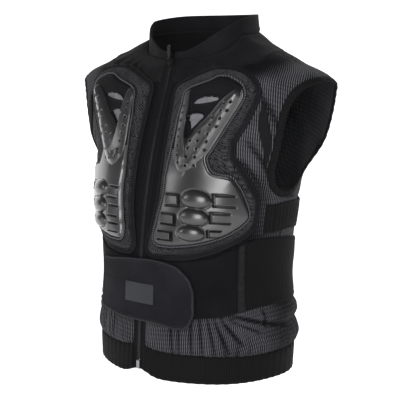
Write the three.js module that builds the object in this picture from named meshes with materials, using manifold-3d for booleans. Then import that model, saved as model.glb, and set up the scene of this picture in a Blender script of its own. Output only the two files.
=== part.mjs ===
// Motorcycle armour vest: a sleeveless zipped mesh vest with a stand collar, two moulded chest
// plates on stitched foam pads, a wide belt with a wrap-over flap, a gathered mesh skirt and a
// ribbed hem band. Millimetres. The origin lies midway between the shoulders, level with the
// front of the neck opening. +X is the wearer's left, -Y is forward and +Z is up.

import * as THREE from 'three';
import { mergeVertices } from 'three/addons/utils/BufferGeometryUtils.js';
import Module from 'manifold-3d';

const wasm = await Module();
wasm.setup();

// Overall sizes
const BODY_LENGTH = 452; // neck level down to the hem edge
const TORSO_BREADTH = 300; // side to side round the waist
const TORSO_DEPTH = 226; // front to back round the waist
const SHOULDER_BREADTH = 456; // shoulder tip to shoulder tip
const NECK_BREADTH = 176; // seam to seam across the neck opening
const ZIP_RAISE = 10; // how far the closed zip pulls the hem up

// Cloth, gaps and the layers sewn over each other, measured out from the body form
const MESH_WALL = 2;
const SEAM_GAP = 0.3;
const SEAM_ANGLE = 1; // degrees behind the plain side line
const LAYER_GAP = 0.95; // clearance that lets one curved layer lie on another
const BORDER_WALL = 1.8;
const PAD_WALL = 6.8;
const DISH = 1.8; // how far the backs of pads and plates are dished to lie on curved ones
const STRAP_WALL = 1.8;
const BELT_WALL = 2.4;
const FLAP_WALL = 3.4;
const LABEL_WALL = 0.8;
const HEM_WALL = 3.6;
const COLLAR_WALL = 3;

// Zip
const CHAIN_WIDTH = 5.8;
const CHAIN_WALL = 2.4;
const TAPE_WIDTH = 9;
const TAPE_WALL = 1.8;
const SLIDER_WIDTH = 10;
const SLIDER_HEIGHT = 11;
const SLIDER_WALL = 4;
const LUG_WALL = 1.6;
const PIN_RADIUS = 0.9;
const PULL_WIDTH = 5.6;
const PULL_LENGTH = 19;
const PULL_WALL = 1.4;
const BOX_HEIGHT = 12;
const BOX_WALL = 4.6;

// Armholes, as levels of the body form and degrees of its round
const ARM_FOOT = 5.32;
const ARM_HEAD = 8.3;
const ARM_SWEEP = 16;
const BINDING_WIDTH = 9.5;
const BINDING_WALL = 4;

// Chest armour
const PAD_TOP = 24; // below the origin
const PAD_HEIGHT = 251;
const BORDER_WIDTH = 7;
const PLATE_TOP = 36; // below the origin
const PLATE_HEIGHT = 224;
const PLATE_WALL = 2.8;
const PLATE_CROWN = 2.2; // rise of the plate's middle over its rim
const ARM_RISE = 5.5; // height of the perforated arm over the plate
const RIDGE_RISE = 3.5;
const ARM_WIDTH = 26;
const RIDGE_WIDTH = 15;
const HOLE_DIAMETER = 3.4;
const DOME_RISE = 5;
const TAB_RISE = 1.8;
const SLOT_WIDTH = 2.4; // open round the three free sides of a tab
const PIPING_WIDTH = 2.6;
const PIPING_OFFSET = 2; // plate rim to piping

// Belt, skirt and hem
const BELT_TOP = 270; // below the origin, at the wearer's side of the plates
const BELT_HEIGHT = 84;
const BONE_WIDTH = 11; // stitched stay channel, measured round the waist
const FLAP_DROP = 88;
const SKIRT_PUFF = 7;
const SKIRT_FOLDS = 26; // folds round the whole skirt
const SKIRT_FOLD_RISE = 1.6;
const COLLAR_BREADTH = 168;
const COLLAR_BACK = 84;
const COLLAR_FRONT = 52;
const COLLAR_TOP = 56; // back of the rim over the origin

// One row of a table as an object, with the column names given once.
function table(columns, rows) {
  const names = columns.split(' ');
  return rows.map((row) => Object.fromEntries(row.map((value, k) => [names[k], value])));
}

// The body form: level rounds from the hem up to the neck seam. Front, side and back are heights
// as shares of BODY_LENGTH. Across is a share of half the breadth that the round follows, ahead
// and behind are shares of TORSO_DEPTH, square is the corner power of the round, and an ease
// below 1 keeps the front of a round level before it climbs to the side.
const ROUNDS = table('name front side back follows across ahead behind square ease', [
  ['hem', -1.0, -0.996, -0.985, 'torso', 1.0, 0.549, 0.451, 2.2, 1],
  ['hem top', -0.909, -0.909, -0.898, 'torso', 1.02, 0.544, 0.46, 2.2, 1],
  ['belt foot', -0.81, -0.796, -0.792, 'torso', 1.007, 0.535, 0.456, 2.2, 1],
  ['waist', -0.704, -0.697, -0.695, 'torso', 0.98, 0.527, 0.447, 2.2, 1],
  ['belt top', -0.602, -0.597, -0.597, 'torso', 0.993, 0.518, 0.447, 2.25, 1],
  ['ribs', -0.469, -0.467, -0.465, 'torso', 1.04, 0.487, 0.456, 2.3, 1],
  ['underarm', -0.345, -0.363, -0.345, 'torso', 1.12, 0.442, 0.478, 2.3, 1],
  ['chest', -0.243, -0.248, -0.221, 'shoulders', 0.906, 0.389, 0.496, 2.25, 1],
  ['shoulder tip', -0.155, -0.094, -0.106, 'shoulders', 1.0, 0.332, 0.469, 2.1, 1],
  ['shoulder', -0.102, -0.026, -0.035, 'shoulders', 0.759, 0.296, 0.438, 2.0, 0.6],
  ['yoke', -0.053, 0.015, 0.02, 'shoulders', 0.554, 0.265, 0.403, 2.0, 0.3],
  ['neck', -0.02, 0.053, 0.066, 'neck', 1.0, 0.235, 0.376, 2.0, 0.07],
]);
const NECK_LEVEL = ROUNDS.length - 1;

// In every table below, turn is the angle from the front centre round to the back centre.

// Seam between the mesh panels and the neck yoke, as levels of the body form.
const YOKE_SEAM = table('turn level', [
  [0, 9.2], [55, 9.2], [64, 9.0], [73, 9.05], [81, 9.35], [88, 9.6], [110, 9.7], [180, 9.6],
]);

// Collar rim heights over the origin, as shares of COLLAR_TOP.
const COLLAR_RIM = table('turn height', [
  [0, 0.02], [24, 0.06], [44, 0.23], [66, 0.54], [86, 0.83], [127, 0.98], [180, 1.0],
]);

// Belt edges over and under BELT_TOP, as shares of BELT_HEIGHT.
const BELT_EDGES = table('turn top foot', [
  [0, -0.173, -1.131],
  [20, -0.161, -1.119],
  [35, -0.131, -1.083],
  [52, -0.045, -1.036],
  [58, 0.045, -1.0],
  [64, 0.13, -0.964],
  [70, 0.21, -0.928],
  [77, 0.26, -0.898],
  [97, 0.21, -0.881],
  [112, 0.12, -0.881],
  [180, 0.095, -0.881],
]);

// Flap edges from its sewn end on the wearer's right to its free end on the left: top and foot
// below BELT_TOP as shares of FLAP_DROP.
const FLAP_EDGES = table('angle top foot', [
  [-130, -0.25, -1.09],
  [-121, -0.244, -1.114],
  [-105, -0.19, -1.148],
  [-90, -0.16, -1.153],
  [-78, -0.142, -1.148],
  [-67, -0.165, -1.17],
  [-60, -0.21, -1.199],
  [-55, -0.3, -1.185],
  [-51.5, -0.41, -1.12],
  [-49, -0.6, -0.95],
]);

// Chest plate rims of the wearer's left: down is a share of PLATE_HEIGHT under PLATE_TOP, inner
// and outer are the angles of the zip side and the arm side.
const PLATE_ROWS = table('down inner outer', [
  [0, -31.5, -27.5],
  [0.03, -38, -23.8],
  [0.069, -50, -23],
  [0.1, -55, -23.3],
  [0.16, -57, -25.5],
  [0.237, -60, -29],
  [0.33, -62, -33.5],
  [0.411, -64, -38],
  [0.464, -65, -41],
  [0.518, -66.5, -40],
  [0.556, -67, -37.5],
  [0.572, -67.6, -29.5],
  [0.607, -68, -27.5],
  [0.652, -68, -25.5],
  [0.72, -69, -23.5],
  [0.795, -71, -22],
  [0.835, -72.3, -23.5],
  [0.88, -73.2, -28],
  [0.93, -75, -35.5],
  [0.975, -75, -48],
  [1, -72, -62],
]);

// Foam pad rims, in the same way: down is a share of PAD_HEIGHT under PAD_TOP.
const PAD_ROWS = table('down inner outer', [
  [0, -33, -26],
  [0.024, -42, -22],
  [0.06, -54, -20.3],
  [0.1, -67.5, -19.8],
  [0.19, -70, -22],
  [0.27, -71, -25],
  [0.355, -72, -29],
  [0.41, -72.5, -30],
  [0.45, -73, -30],
  [0.5, -73, -27],
  [0.545, -73.5, -24.5],
  [0.6, -74, -22],
  [0.7, -75, -18],
  [0.79, -77, -18.5],
  [0.86, -79, -22.5],
  [0.91, -80.5, -31],
  [0.955, -82, -41.5],
  [0.985, -81, -52],
  [1, -78, -64],
]);

// The moulded arm with the holes and the plain ridge beside the zip, down their middles.
const ARM_PATH = table('down angle width', [
  [0.06, -27, 0.7],
  [0.1, -28.4, 0.92],
  [0.17, -31.6, 1],
  [0.268, -36.5, 1],
  [0.362, -42.5, 1],
  [0.43, -47.5, 1],
  [0.5, -51.8, 0.9],
  [0.545, -54, 0.7],
  [0.575, -55.5, 0.3],
]);
const RIDGE_PATH = table('down angle width', [
  [0.085, -48.8, 0.6],
  [0.12, -51.2, 1],
  [0.2, -53.8, 1],
  [0.31, -57, 1],
  [0.42, -59.5, 1],
  [0.5, -60.5, 0.9],
  [0.55, -59.5, 0.5],
]);

// Two windows in the web between the arm and the ridge.
const WINDOWS = {
  crescent: [[0.156, -47], [0.125, -43], [0.107, -38.5], [0.103, -34], [0.118, -32.5],
    [0.138, -36], [0.152, -41]],
  arch: [[0.226, -50.5], [0.211, -47.5], [0.208, -44.5], [0.218, -41.5], [0.262, -45], [0.3, -49]],
};

// Rows of holes: where they lie along the arm, and how far each lies off its middle line.
const HOLE_ROWS = table('along offsets', [
  [0.17, [-4.5, 4.5]],
  [0.27, [-4.5, 4.5]],
  [0.37, [-5, 5]],
  [0.47, [-5, 5]],
  [0.57, [-8, 0, 8]],
  [0.67, [-8, 0, 8]],
  [0.78, [-5, 4]],
  [0.88, [-5, 4]],
]);

// The three domes, and the louvre tabs on either side of each: hinge is the tab's root.
const DOMES = table('down angle breadth height', [
  [0.714, -46, 36, 22.5],
  [0.817, -47, 36, 20.5],
  [0.911, -49, 32, 18],
]);
const TABS = table('top foot hinge tip', [
  [0.7, 0.754, -67, -57.2],
  [0.806, 0.86, -70, -59.8],
  [0.926, 0.965, -71, -62],
  [0.69, 0.745, -27, -36],
  [0.796, 0.84, -30.5, -38],
  [0.89, 0.93, -34, -39.8],
]);

// Webbing strip from the pad's upper corner down to the armhole, by its edge angles.
const STRIP_ROWS = table('down front rear', [
  [0.185, -19.8, -17.2],
  [0.21, -20.2, -17.5],
  [0.245, -20.4, -17.6],
  [0.28, -20.2, -17.4],
  [0.31, -19.6, -17],
  [0.335, -18.8, -16.6],
  [0.365, -17.8, -16.2],
]);

const FRONT = -90;
const rad = THREE.MathUtils.degToRad;
const deg = THREE.MathUtils.radToDeg;
const lerp = THREE.MathUtils.lerp;

// Value of a column between the rows of a table, straight from row to row.
function between(rows, key, column, value) {
  const next = rows.findIndex((row) => row[key] >= value);
  if (next === 0) return rows[0][column];
  if (next < 0) return rows[rows.length - 1][column];
  const [low, high] = [rows[next - 1], rows[next]];
  return lerp(low[column], high[column], (value - low[key]) / (high[key] - low[key]));
}

// Angle from the front centre, 0 to 180 on either side.
function turnOf(angle) {
  const turned = (((angle - FRONT) % 360) + 360) % 360;
  return Math.min(turned, 360 - turned);
}

const HALF_BREADTH = {
  torso: TORSO_BREADTH / 2,
  shoulders: SHOULDER_BREADTH / 2,
  neck: NECK_BREADTH / 2,
};
const SECTIONS = ROUNDS.map((round) => [
  round.front * BODY_LENGTH,
  round.side * BODY_LENGTH,
  round.back * BODY_LENGTH,
  round.across * HALF_BREADTH[round.follows],
  round.ahead * TORSO_DEPTH,
  round.behind * TORSO_DEPTH,
  round.square,
  round.ease,
]);

// Slopes of a smooth curve through the rounds that never overshoots one.
const SLOPES = SECTIONS.map((section, i) => section.map((value, k) => {
  if (i === 0) return SECTIONS[1][k] - value;
  const before = value - SECTIONS[i - 1][k];
  if (i === NECK_LEVEL) return before;
  const after = SECTIONS[i + 1][k] - value;
  if (before * after <= 0) return 0;
  const mean = (before + after) / 2;
  return Math.sign(mean) * Math.min(Math.abs(mean), 3 * Math.abs(before), 3 * Math.abs(after));
}));

function roundAt(level) {
  const i = Math.min(Math.max(Math.floor(level), 0), NECK_LEVEL - 1);
  const f = level - i;
  return SECTIONS[i].map((value, k) => (
    (2 * f ** 3 - 3 * f ** 2 + 1) * value + (f ** 3 - 2 * f ** 2 + f) * SLOPES[i][k]
    + (3 * f ** 2 - 2 * f ** 3) * SECTIONS[i + 1][k] + (f ** 3 - f ** 2) * SLOPES[i + 1][k]
  ));
}

// Point of the body form. Angle -90 is the front centre, 0 the wearer's left, 90 the back.
function bodyPoint(level, angle) {
  const [front, side, back, half, ahead, behind, square, ease] = roundAt(level);
  const c = Math.cos(rad(angle));
  const s = Math.sin(rad(angle));
  const depth = s < 0 ? ahead : behind;
  const reach = (Math.abs(c / half) ** square + Math.abs(s / depth) ** square) ** (-1 / square);
  const climb = s ** 2 / (s ** 2 + ease * c ** 2);
  const raise = ZIP_RAISE * Math.max(0, 1 - level / 2) * Math.exp(-((turnOf(angle) / 10) ** 2));
  const height = lerp(side, s < 0 ? front : back, climb) + raise;
  return new THREE.Vector3(reach * c, reach * s, height);
}

function bodyNormal(level, angle) {
  const step = 0.01;
  const up = bodyPoint(Math.min(level + step, NECK_LEVEL), angle)
    .sub(bodyPoint(Math.max(level - step, 0), angle));
  const round = bodyPoint(level, angle + step).sub(bodyPoint(level, angle - step));
  return round.cross(up).normalize();
}

// Point a lift outside the body form, by level or by height.
function skin(level, angle, lift) {
  return bodyPoint(level, angle).addScaledVector(bodyNormal(level, angle), lift);
}

function levelAt(height, angle) {
  let [low, high] = [0, NECK_LEVEL];
  for (let step = 0; step < 32; step += 1) {
    const middle = (low + high) / 2;
    if (bodyPoint(middle, angle).z < height) low = middle;
    else high = middle;
  }
  return (low + high) / 2;
}

function onBody(height, angle, lift) {
  return skin(levelAt(height, angle), angle, lift);
}

// Angle of the point on the front that lies a distance x to the wearer's left of the zip.
function frontAngle(level, x) {
  let [low, high] = [FRONT, FRONT + 60];
  for (let step = 0; step < 32; step += 1) {
    const middle = (low + high) / 2;
    if (bodyPoint(level, middle).x < x) low = middle;
    else high = middle;
  }
  return (low + high) / 2;
}

// Degrees that a length takes up round the body at a level, beside the arms.
function degreesOf(length, level) {
  return deg(length / roundAt(level)[3]);
}

// Closed body from points and triangles, with its faces turned out.
function closedBody(points, triangles) {
  let volume = 0;
  for (const [a, b, c] of triangles) {
    volume += points[a].dot(points[b].clone().cross(points[c]));
  }
  const faces = volume < 0 ? triangles.map(([a, b, c]) => [a, c, b]) : triangles;
  const geometry = new THREE.BufferGeometry();
  geometry.setAttribute('position', new THREE.Float32BufferAttribute(
    points.flatMap((point) => point.toArray()), 3));
  geometry.setIndex(faces.flat());
  return geometry;
}

function quad(a, b, c, d) {
  return [[a, b, c], [a, c, d]];
}

// Sheet with a wall: at(row, column, side) places its outer (side 1) and inner (side 0) points.
function sheet(rows, columns, at) {
  const points = [];
  for (const side of [1, 0]) {
    for (let i = 0; i < rows; i += 1) {
      for (let j = 0; j < columns; j += 1) points.push(at(i, j, side));
    }
  }
  const inner = rows * columns;
  const last = [rows - 1, columns - 1];
  const triangles = [];
  for (let i = 0; i < last[0]; i += 1) {
    for (let j = 0; j < last[1]; j += 1) {
      const [a, b, c, d] = [i * columns + j, i * columns + j + 1,
        (i + 1) * columns + j + 1, (i + 1) * columns + j];
      triangles.push(...quad(a, b, c, d));
      triangles.push(...quad(inner + a, inner + d, inner + c, inner + b));
    }
  }
  const rim = [];
  for (let j = 0; j < last[1]; j += 1) rim.push(j);
  for (let i = 0; i < last[0]; i += 1) rim.push(i * columns + last[1]);
  for (let j = last[1]; j > 0; j -= 1) rim.push(last[0] * columns + j);
  for (let i = last[0]; i > 0; i -= 1) rim.push(i * columns);
  rim.forEach((a, k) => {
    const b = rim[(k + 1) % rim.length];
    triangles.push(...quad(b, a, inner + a, inner + b));
  });
  return closedBody(points, triangles);
}

// Closed tube whose section follows a loop of stations: each station is a list of points.
function ringOf(stations) {
  const size = stations[0].length;
  const triangles = [];
  stations.forEach((station, i) => {
    const next = (i + 1) % stations.length;
    for (let k = 0; k < size; k += 1) {
      const after = (k + 1) % size;
      triangles.push(...quad(i * size + k, next * size + k,
        next * size + after, i * size + after));
    }
  });
  return closedBody(stations.flat(), triangles);
}

// Solid lofted through sections of equal size, with a flat cap at each end.
function loftOf(stations) {
  const size = stations[0].length;
  const last = (stations.length - 1) * size;
  const triangles = [];
  for (let i = 0; i < stations.length - 1; i += 1) {
    for (let k = 0; k < size; k += 1) {
      const after = (k + 1) % size;
      triangles.push(...quad(i * size + k, (i + 1) * size + k,
        (i + 1) * size + after, i * size + after));
    }
  }
  for (let k = 1; k < size - 1; k += 1) {
    triangles.push([0, k, k + 1], [last, last + k + 1, last + k]);
  }
  return closedBody(stations.flat(), triangles);
}

// Block between two lifts whose outline is a list of [height, angle] on the body.
function blockOn(outline, low, high) {
  const flat = outline.map(([height, angle]) => new THREE.Vector2(angle * 2, height));
  const faces = THREE.ShapeUtils.triangulateShape(flat, []);
  const points = [high, low].flatMap((lift) => outline.map(([height, angle], k) => (
    onBody(height, angle, Array.isArray(lift) ? lift[k] : lift))));
  const size = outline.length;
  const triangles = faces.flatMap(([a, b, c]) => [[a, b, c], [a + size, c + size, b + size]]);
  const clockwise = THREE.ShapeUtils.isClockWise(flat);
  for (let k = 0; k < size; k += 1) {
    const after = (k + 1) % size;
    triangles.push(...(clockwise ? quad(k, after, after + size, k + size)
      : quad(after, k, k + size, after + size)));
  }
  return closedBody(points, triangles);
}

function toSolid(geometry) {
  const bare = geometry.clone();
  bare.deleteAttribute('normal');
  bare.deleteAttribute('uv');
  const merged = mergeVertices(bare, 1e-4);
  return new wasm.Manifold(new wasm.Mesh({
    numProp: 3,
    vertProperties: new Float32Array(merged.attributes.position.array),
    triVerts: new Uint32Array(merged.index.array),
  }));
}

function toGeometry(solid) {
  const mesh = solid.getMesh();
  const geometry = new THREE.BufferGeometry();
  geometry.setAttribute('position', new THREE.BufferAttribute(mesh.vertProperties, 3));
  geometry.setIndex(new THREE.BufferAttribute(mesh.triVerts, 1));
  return geometry;
}

const joined = (geometries) => geometries.map(toSolid).reduce((whole, one) => whole.add(one));
const cutBy = (solid, cutters) => cutters.map(toSolid)
  .reduce((whole, one) => whole.subtract(one), solid);

// The same piece on the wearer's other side.
function mirrored(geometry) {
  const copy = geometry.clone();
  copy.scale(-1, 1, 1);
  const order = copy.index.array;
  for (let k = 0; k < order.length; k += 3) [order[k], order[k + 1]] = [order[k + 1], order[k]];
  return copy;
}

const finish = (color, roughness, metalness = 0) => new THREE.MeshStandardMaterial({
  color, roughness, metalness,
});
const FINISHES = {
  mesh: finish('#2b2b2e', 0.85),
  jersey: finish('#17171a', 0.9),
  webbing: finish('#1a1a1c', 0.85),
  airMesh: finish('#303033', 0.9),
  shell: finish('#2c2c30', 0.28),
  elastic: finish('#19191b', 0.85),
  loop: finish('#202023', 0.95),
  patch: finish('#34353a', 0.6),
  zipTape: finish('#121214', 0.85),
  blackMetal: finish('#1c1c1f', 0.4, 0.9),
  silver: finish('#a9a9ad', 0.3, 1),
};

const vest = new THREE.Group();
function add(name, geometry, material) {
  const mesh = new THREE.Mesh(geometry, material);
  mesh.name = name;
  vest.add(mesh);
  return mesh;
}
function addPair(name, geometry, material) {
  add(`${name}_left`, geometry, material);
  add(`${name}_right`, mirrored(geometry), material);
}

// Mesh panels

const PANEL_START = CHAIN_WIDTH / 2 + TAPE_WIDTH + 2 * SEAM_GAP; // from the zip line
const PANEL_FOOT = 3.4; // level under the belt where the skirt is sewn on
const ARM_LEVELS = [ARM_FOOT, 5.43, 5.75, 6.3, 6.9, 7.4, 7.9, 8.2, ARM_HEAD];
const PANEL_LEVELS = [PANEL_FOOT, 4, 4.6, ...ARM_LEVELS];
const TOP_SHARES = [0.35, 0.7, 1]; // rows between the armhole and the yoke seam
const LEVEL_GAP = 0.01;
const FRONT_COLUMNS = 7;
const BACK_COLUMNS = 13;

// Half the armhole's sweep at a level: a squared-off oval, widest at mid height.
function armSweep(level) {
  const off = Math.abs(2 * level - ARM_FOOT - ARM_HEAD) / (ARM_HEAD - ARM_FOOT);
  return off >= 1 ? 0 : ARM_SWEEP * (1 - off ** 2.3) ** (1 / 2.3);
}

function panelLevel(row, angle) {
  if (row < PANEL_LEVELS.length) return PANEL_LEVELS[row];
  const seam = between(YOKE_SEAM, 'turn', 'level', turnOf(angle)) - LEVEL_GAP;
  return lerp(ARM_HEAD, seam, TOP_SHARES[row - PANEL_LEVELS.length]);
}

// How far a panel's edge stays off the side line at a row.
function edgeSweep(row) {
  const level = panelLevel(row, SEAM_ANGLE);
  return Math.max(armSweep(level), degreesOf(SEAM_GAP / 2, level));
}

const PANEL_ROWS = PANEL_LEVELS.length + TOP_SHARES.length;
const clothLift = (side) => (side - 0.5) * MESH_WALL;

function frontPanel() {
  return sheet(PANEL_ROWS, FRONT_COLUMNS, (i, j, side) => {
    const start = frontAngle(panelLevel(i, FRONT), PANEL_START);
    const angle = lerp(start, SEAM_ANGLE - edgeSweep(i), j / (FRONT_COLUMNS - 1));
    return skin(panelLevel(i, angle), angle, clothLift(side));
  });
}

function backPanel() {
  return sheet(PANEL_ROWS, BACK_COLUMNS, (i, j, side) => {
    const start = SEAM_ANGLE + edgeSweep(i);
    const angle = lerp(start, 180 - start, j / (BACK_COLUMNS - 1));
    return skin(panelLevel(i, angle), angle, clothLift(side));
  });
}

// Columns of a piece that runs from one side of the zip round the back to the other side, in
// line with the columns of the front and back pieces that it meets: angleAt(start, column).
function roundColumns(frontColumns, backColumns) {
  const count = 2 * frontColumns + backColumns - 2;
  const angleAt = (start, j) => {
    if (j < frontColumns) return lerp(start, SEAM_ANGLE, j / (frontColumns - 1));
    if (j >= count - frontColumns) return 180 - angleAt(start, count - 1 - j);
    return lerp(SEAM_ANGLE, 180 - SEAM_ANGLE, (j - frontColumns + 1) / (backColumns - 1));
  };
  return { count, angleAt };
}

function neckYoke() {
  const rows = 4;
  const { count, angleAt } = roundColumns(FRONT_COLUMNS, BACK_COLUMNS);
  return sheet(rows, count, (i, j, side) => {
    const foot = angleAt(frontAngle(panelLevel(PANEL_ROWS - 1, FRONT), PANEL_START), j);
    const seam = between(YOKE_SEAM, 'turn', 'level', turnOf(foot));
    const level = lerp(seam + LEVEL_GAP, NECK_LEVEL - LEVEL_GAP, i / (rows - 1));
    return skin(level, angleAt(frontAngle(level, PANEL_START), j), clothLift(side));
  });
}

// Rim of the stand collar: a round of its own over the neck seam.
function rimPoint(angle) {
  const c = Math.cos(rad(angle));
  const s = Math.sin(rad(angle));
  const depth = s < 0 ? COLLAR_FRONT : COLLAR_BACK;
  const reach = ((c / (COLLAR_BREADTH / 2)) ** 2 + (s / depth) ** 2) ** -0.5;
  const height = COLLAR_TOP * between(COLLAR_RIM, 'turn', 'height', turnOf(angle));
  return new THREE.Vector3(reach * c, reach * s, height);
}

const COLLAR_START = CHAIN_WIDTH / 2 + SEAM_GAP;
function collarPoint(angle, share, side) {
  const seam = bodyPoint(NECK_LEVEL, angle);
  const up = seam.clone().sub(bodyPoint(NECK_LEVEL - LEVEL_GAP, angle)).normalize();
  const foot = skin(NECK_LEVEL, angle, clothLift(side)).addScaledVector(up, 2 * SEAM_GAP);
  const out = new THREE.Vector3(Math.cos(rad(angle)), Math.sin(rad(angle)), 0);
  return foot.lerp(rimPoint(angle).addScaledVector(out, (side - 0.5) * COLLAR_WALL), share);
}

function collar() {
  const rows = 2;
  const { count, angleAt } = roundColumns(FRONT_COLUMNS, BACK_COLUMNS);
  const start = frontAngle(NECK_LEVEL, COLLAR_START);
  return sheet(rows, count, (i, j, side) => collarPoint(angleAt(start, j), i / (rows - 1), side));
}

// Elastic binding that closes the armhole's raw edge and stands into the opening.
function armholeBinding() {
  const levels = ARM_LEVELS;
  const front = levels.map((level) => [level, SEAM_ANGLE - armSweep(level)]);
  const rear = levels.slice(1, -1).reverse().map((level) => [level, SEAM_ANGLE + armSweep(level)]);
  const loop = [...front, ...rear];
  const section = [[0, -0.5], [0, 0.5], [0.6, 0.6], [1, 0], [0.6, -0.6]];
  const points = loop.map(([level, angle]) => bodyPoint(level, angle));
  return ringOf(loop.map(([level, angle], k) => {
    const after = points[(k + 1) % loop.length];
    const before = points[(k + loop.length - 1) % loop.length];
    const up = bodyNormal(level, angle);
    const inward = after.clone().sub(before).cross(up).normalize();
    return section.map(([share, lift]) => points[k].clone()
      .addScaledVector(inward, SEAM_GAP + share * BINDING_WIDTH)
      .addScaledVector(up, lift * BINDING_WALL));
  }));
}

addPair('front_panel', frontPanel(), FINISHES.mesh);
add('back_panel', backPanel(), FINISHES.mesh);
add('neck_yoke', neckYoke(), FINISHES.jersey);
add('collar', collar(), FINISHES.jersey);
addPair('armhole_binding', armholeBinding(), FINISHES.elastic);

// Layers over the panels, by their inner and outer lifts

const BASE = MESH_WALL / 2 + LAYER_GAP;
const BORDER = [BASE, BASE + BORDER_WALL];
const PAD = [BASE, BASE + PAD_WALL];
const PLATE = [PAD[1] + LAYER_GAP, PAD[1] + LAYER_GAP + PLATE_WALL];
const BELT = [BASE, BASE + BELT_WALL];
const FLAP = [BELT[1] + LAYER_GAP, BELT[1] + LAYER_GAP + FLAP_WALL];
const LABEL = [FLAP[1] + LAYER_GAP, FLAP[1] + LAYER_GAP + LABEL_WALL];

const plateHeight = (down) => -PLATE_TOP - down * PLATE_HEIGHT;
const padHeight = (down) => -PAD_TOP - down * PAD_HEIGHT;

// Roundness of a padded edge: 0 at the edge, 1 from a reach inward on.
const swell = (distance, reach) => Math.sqrt(1 - (1 - Math.min(distance / reach, 1)) ** 2);

// Rim of a piece given by rows, as a loop of [height, angle] down its arm side and up its zip side.
function rimLoop(rows, heightOf) {
  const foot = rows[rows.length - 1];
  return [
    ...rows.map((row) => [heightOf(row.down), row.outer]),
    [heightOf(foot.down), (foot.inner + foot.outer) / 2],
    ...rows.slice().reverse().map((row) => [heightOf(row.down), row.inner]),
  ];
}
const padLoop = () => rimLoop(PAD_ROWS, padHeight);

// Ring that runs round a loop on the body: place turns a section point into its distance out of
// the loop and its lift.
function ringRound(loop, place, section) {
  const points = loop.map(([height, angle]) => onBody(height, angle, 0));
  return ringOf(loop.map(([height, angle], k) => {
    const after = points[(k + 1) % loop.length];
    const before = points[(k + loop.length - 1) % loop.length];
    const up = bodyNormal(levelAt(height, angle), angle);
    const along = [points[k].clone().sub(before), after.clone().sub(points[k])];
    const sides = along.map((step) => up.clone().cross(step).normalize());
    const out = sides[0].add(sides[1]).normalize();
    return section.map((point) => {
      const [distance, lift] = place(point);
      return points[k].clone().addScaledVector(out, distance).addScaledVector(up, lift);
    });
  }));
}

// Flat binding round the foam pad's rim, beside it and no part of it.
function padBorder() {
  const section = [[0, 0], [0, 1], [1, 0.8], [1, 0]];
  return ringRound(padLoop(), ([share, rise]) => [
    SEAM_GAP + share * BORDER_WIDTH, BASE + rise * BORDER_WALL], section);
}

function chestPad() {
  const shares = [0, 0.08, 0.29, 0.5, 0.71, 0.92, 1];
  const edge = 9;
  return sheet(PAD_ROWS.length, shares.length, (i, j, side) => {
    const row = PAD_ROWS[i];
    const height = padHeight(row.down);
    const angle = lerp(row.inner, row.outer, shares[j]);
    const span = rad(row.outer - row.inner) * TORSO_DEPTH / 2;
    const across = Math.min(shares[j], 1 - shares[j]) * span;
    const along = Math.min(row.down, 1 - row.down) * PAD_HEIGHT;
    const rise = swell(Math.min(across, along), edge);
    const lift = side ? lerp(PAD[0], PAD[1], lerp(0.25, 1, rise)) : PAD[0] + DISH * rise;
    return onBody(height, angle, lift);
  });
}

// Corded piping that lies on the pad round the plate's rim.
function platePiping() {
  const section = [[0, 0], [0.5, 1], [1, 0]];
  return ringRound(rimLoop(PLATE_ROWS, plateHeight), ([share, rise]) => [
    PIPING_OFFSET + share * PIPING_WIDTH, PLATE[0] + rise * PIPING_WIDTH], section);
}

// Outer lift of the plate's plain shell, crowned between its zip side and its arm side.
function shellLift(down, angle) {
  const inner = between(PLATE_ROWS, 'down', 'inner', down);
  const outer = between(PLATE_ROWS, 'down', 'outer', down);
  const share = (angle - inner) / (outer - inner);
  return PLATE[1] + PLATE_CROWN * Math.max(0, 1 - (2 * share - 1) ** 2);
}

// A rounded bar moulded on the shell, along a path of the plate.
function barOn(path, breadth, rise) {
  const curve = new THREE.SplineCurve(path.map((row) => new THREE.Vector2(row.angle, row.down)));
  const middles = path.map((row) => onBody(plateHeight(row.down), row.angle, 0));
  const section = [[-1, 0], [-0.75, 0.85], [0, 1], [0.75, 0.85], [1, 0]];
  const stations = path.map((row, k) => {
    const angle = row.angle;
    const after = middles[Math.min(k + 1, path.length - 1)];
    const before = middles[Math.max(k - 1, 0)];
    const up = bodyNormal(levelAt(plateHeight(row.down), angle), angle);
    const across = after.clone().sub(before).cross(up).normalize();
    const foot = PLATE[0] + 0.4 * PLATE_WALL;
    const top = shellLift(row.down, angle) + rise * Math.sqrt(row.width);
    return section.map(([share, lift]) => middles[k].clone()
      .addScaledVector(across, share * row.width * breadth / 2)
      .addScaledVector(up, lerp(foot, top, lift)));
  });
  return { solid: loftOf(stations), curve };
}

// A drill for one hole of the arm, square to the body.
function drillAt(curve, along, offset) {
  const middle = curve.getPoint(along);
  const ahead = curve.getPoint(along + 0.02);
  const at = onBody(plateHeight(middle.y), middle.x, 0);
  const up = bodyNormal(levelAt(plateHeight(middle.y), middle.x), middle.x);
  const across = onBody(plateHeight(ahead.y), ahead.x, 0).sub(at).cross(up).normalize();
  const length = PLATE[1] + 4 * ARM_RISE;
  const drill = new THREE.CylinderGeometry(HOLE_DIAMETER / 2, HOLE_DIAMETER / 2, length, 5);
  drill.applyQuaternion(new THREE.Quaternion().setFromUnitVectors(new THREE.Vector3(0, 1, 0), up));
  const place = at.addScaledVector(across, offset).addScaledVector(up, length / 2);
  return drill.translate(place.x, place.y, place.z);
}

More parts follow.
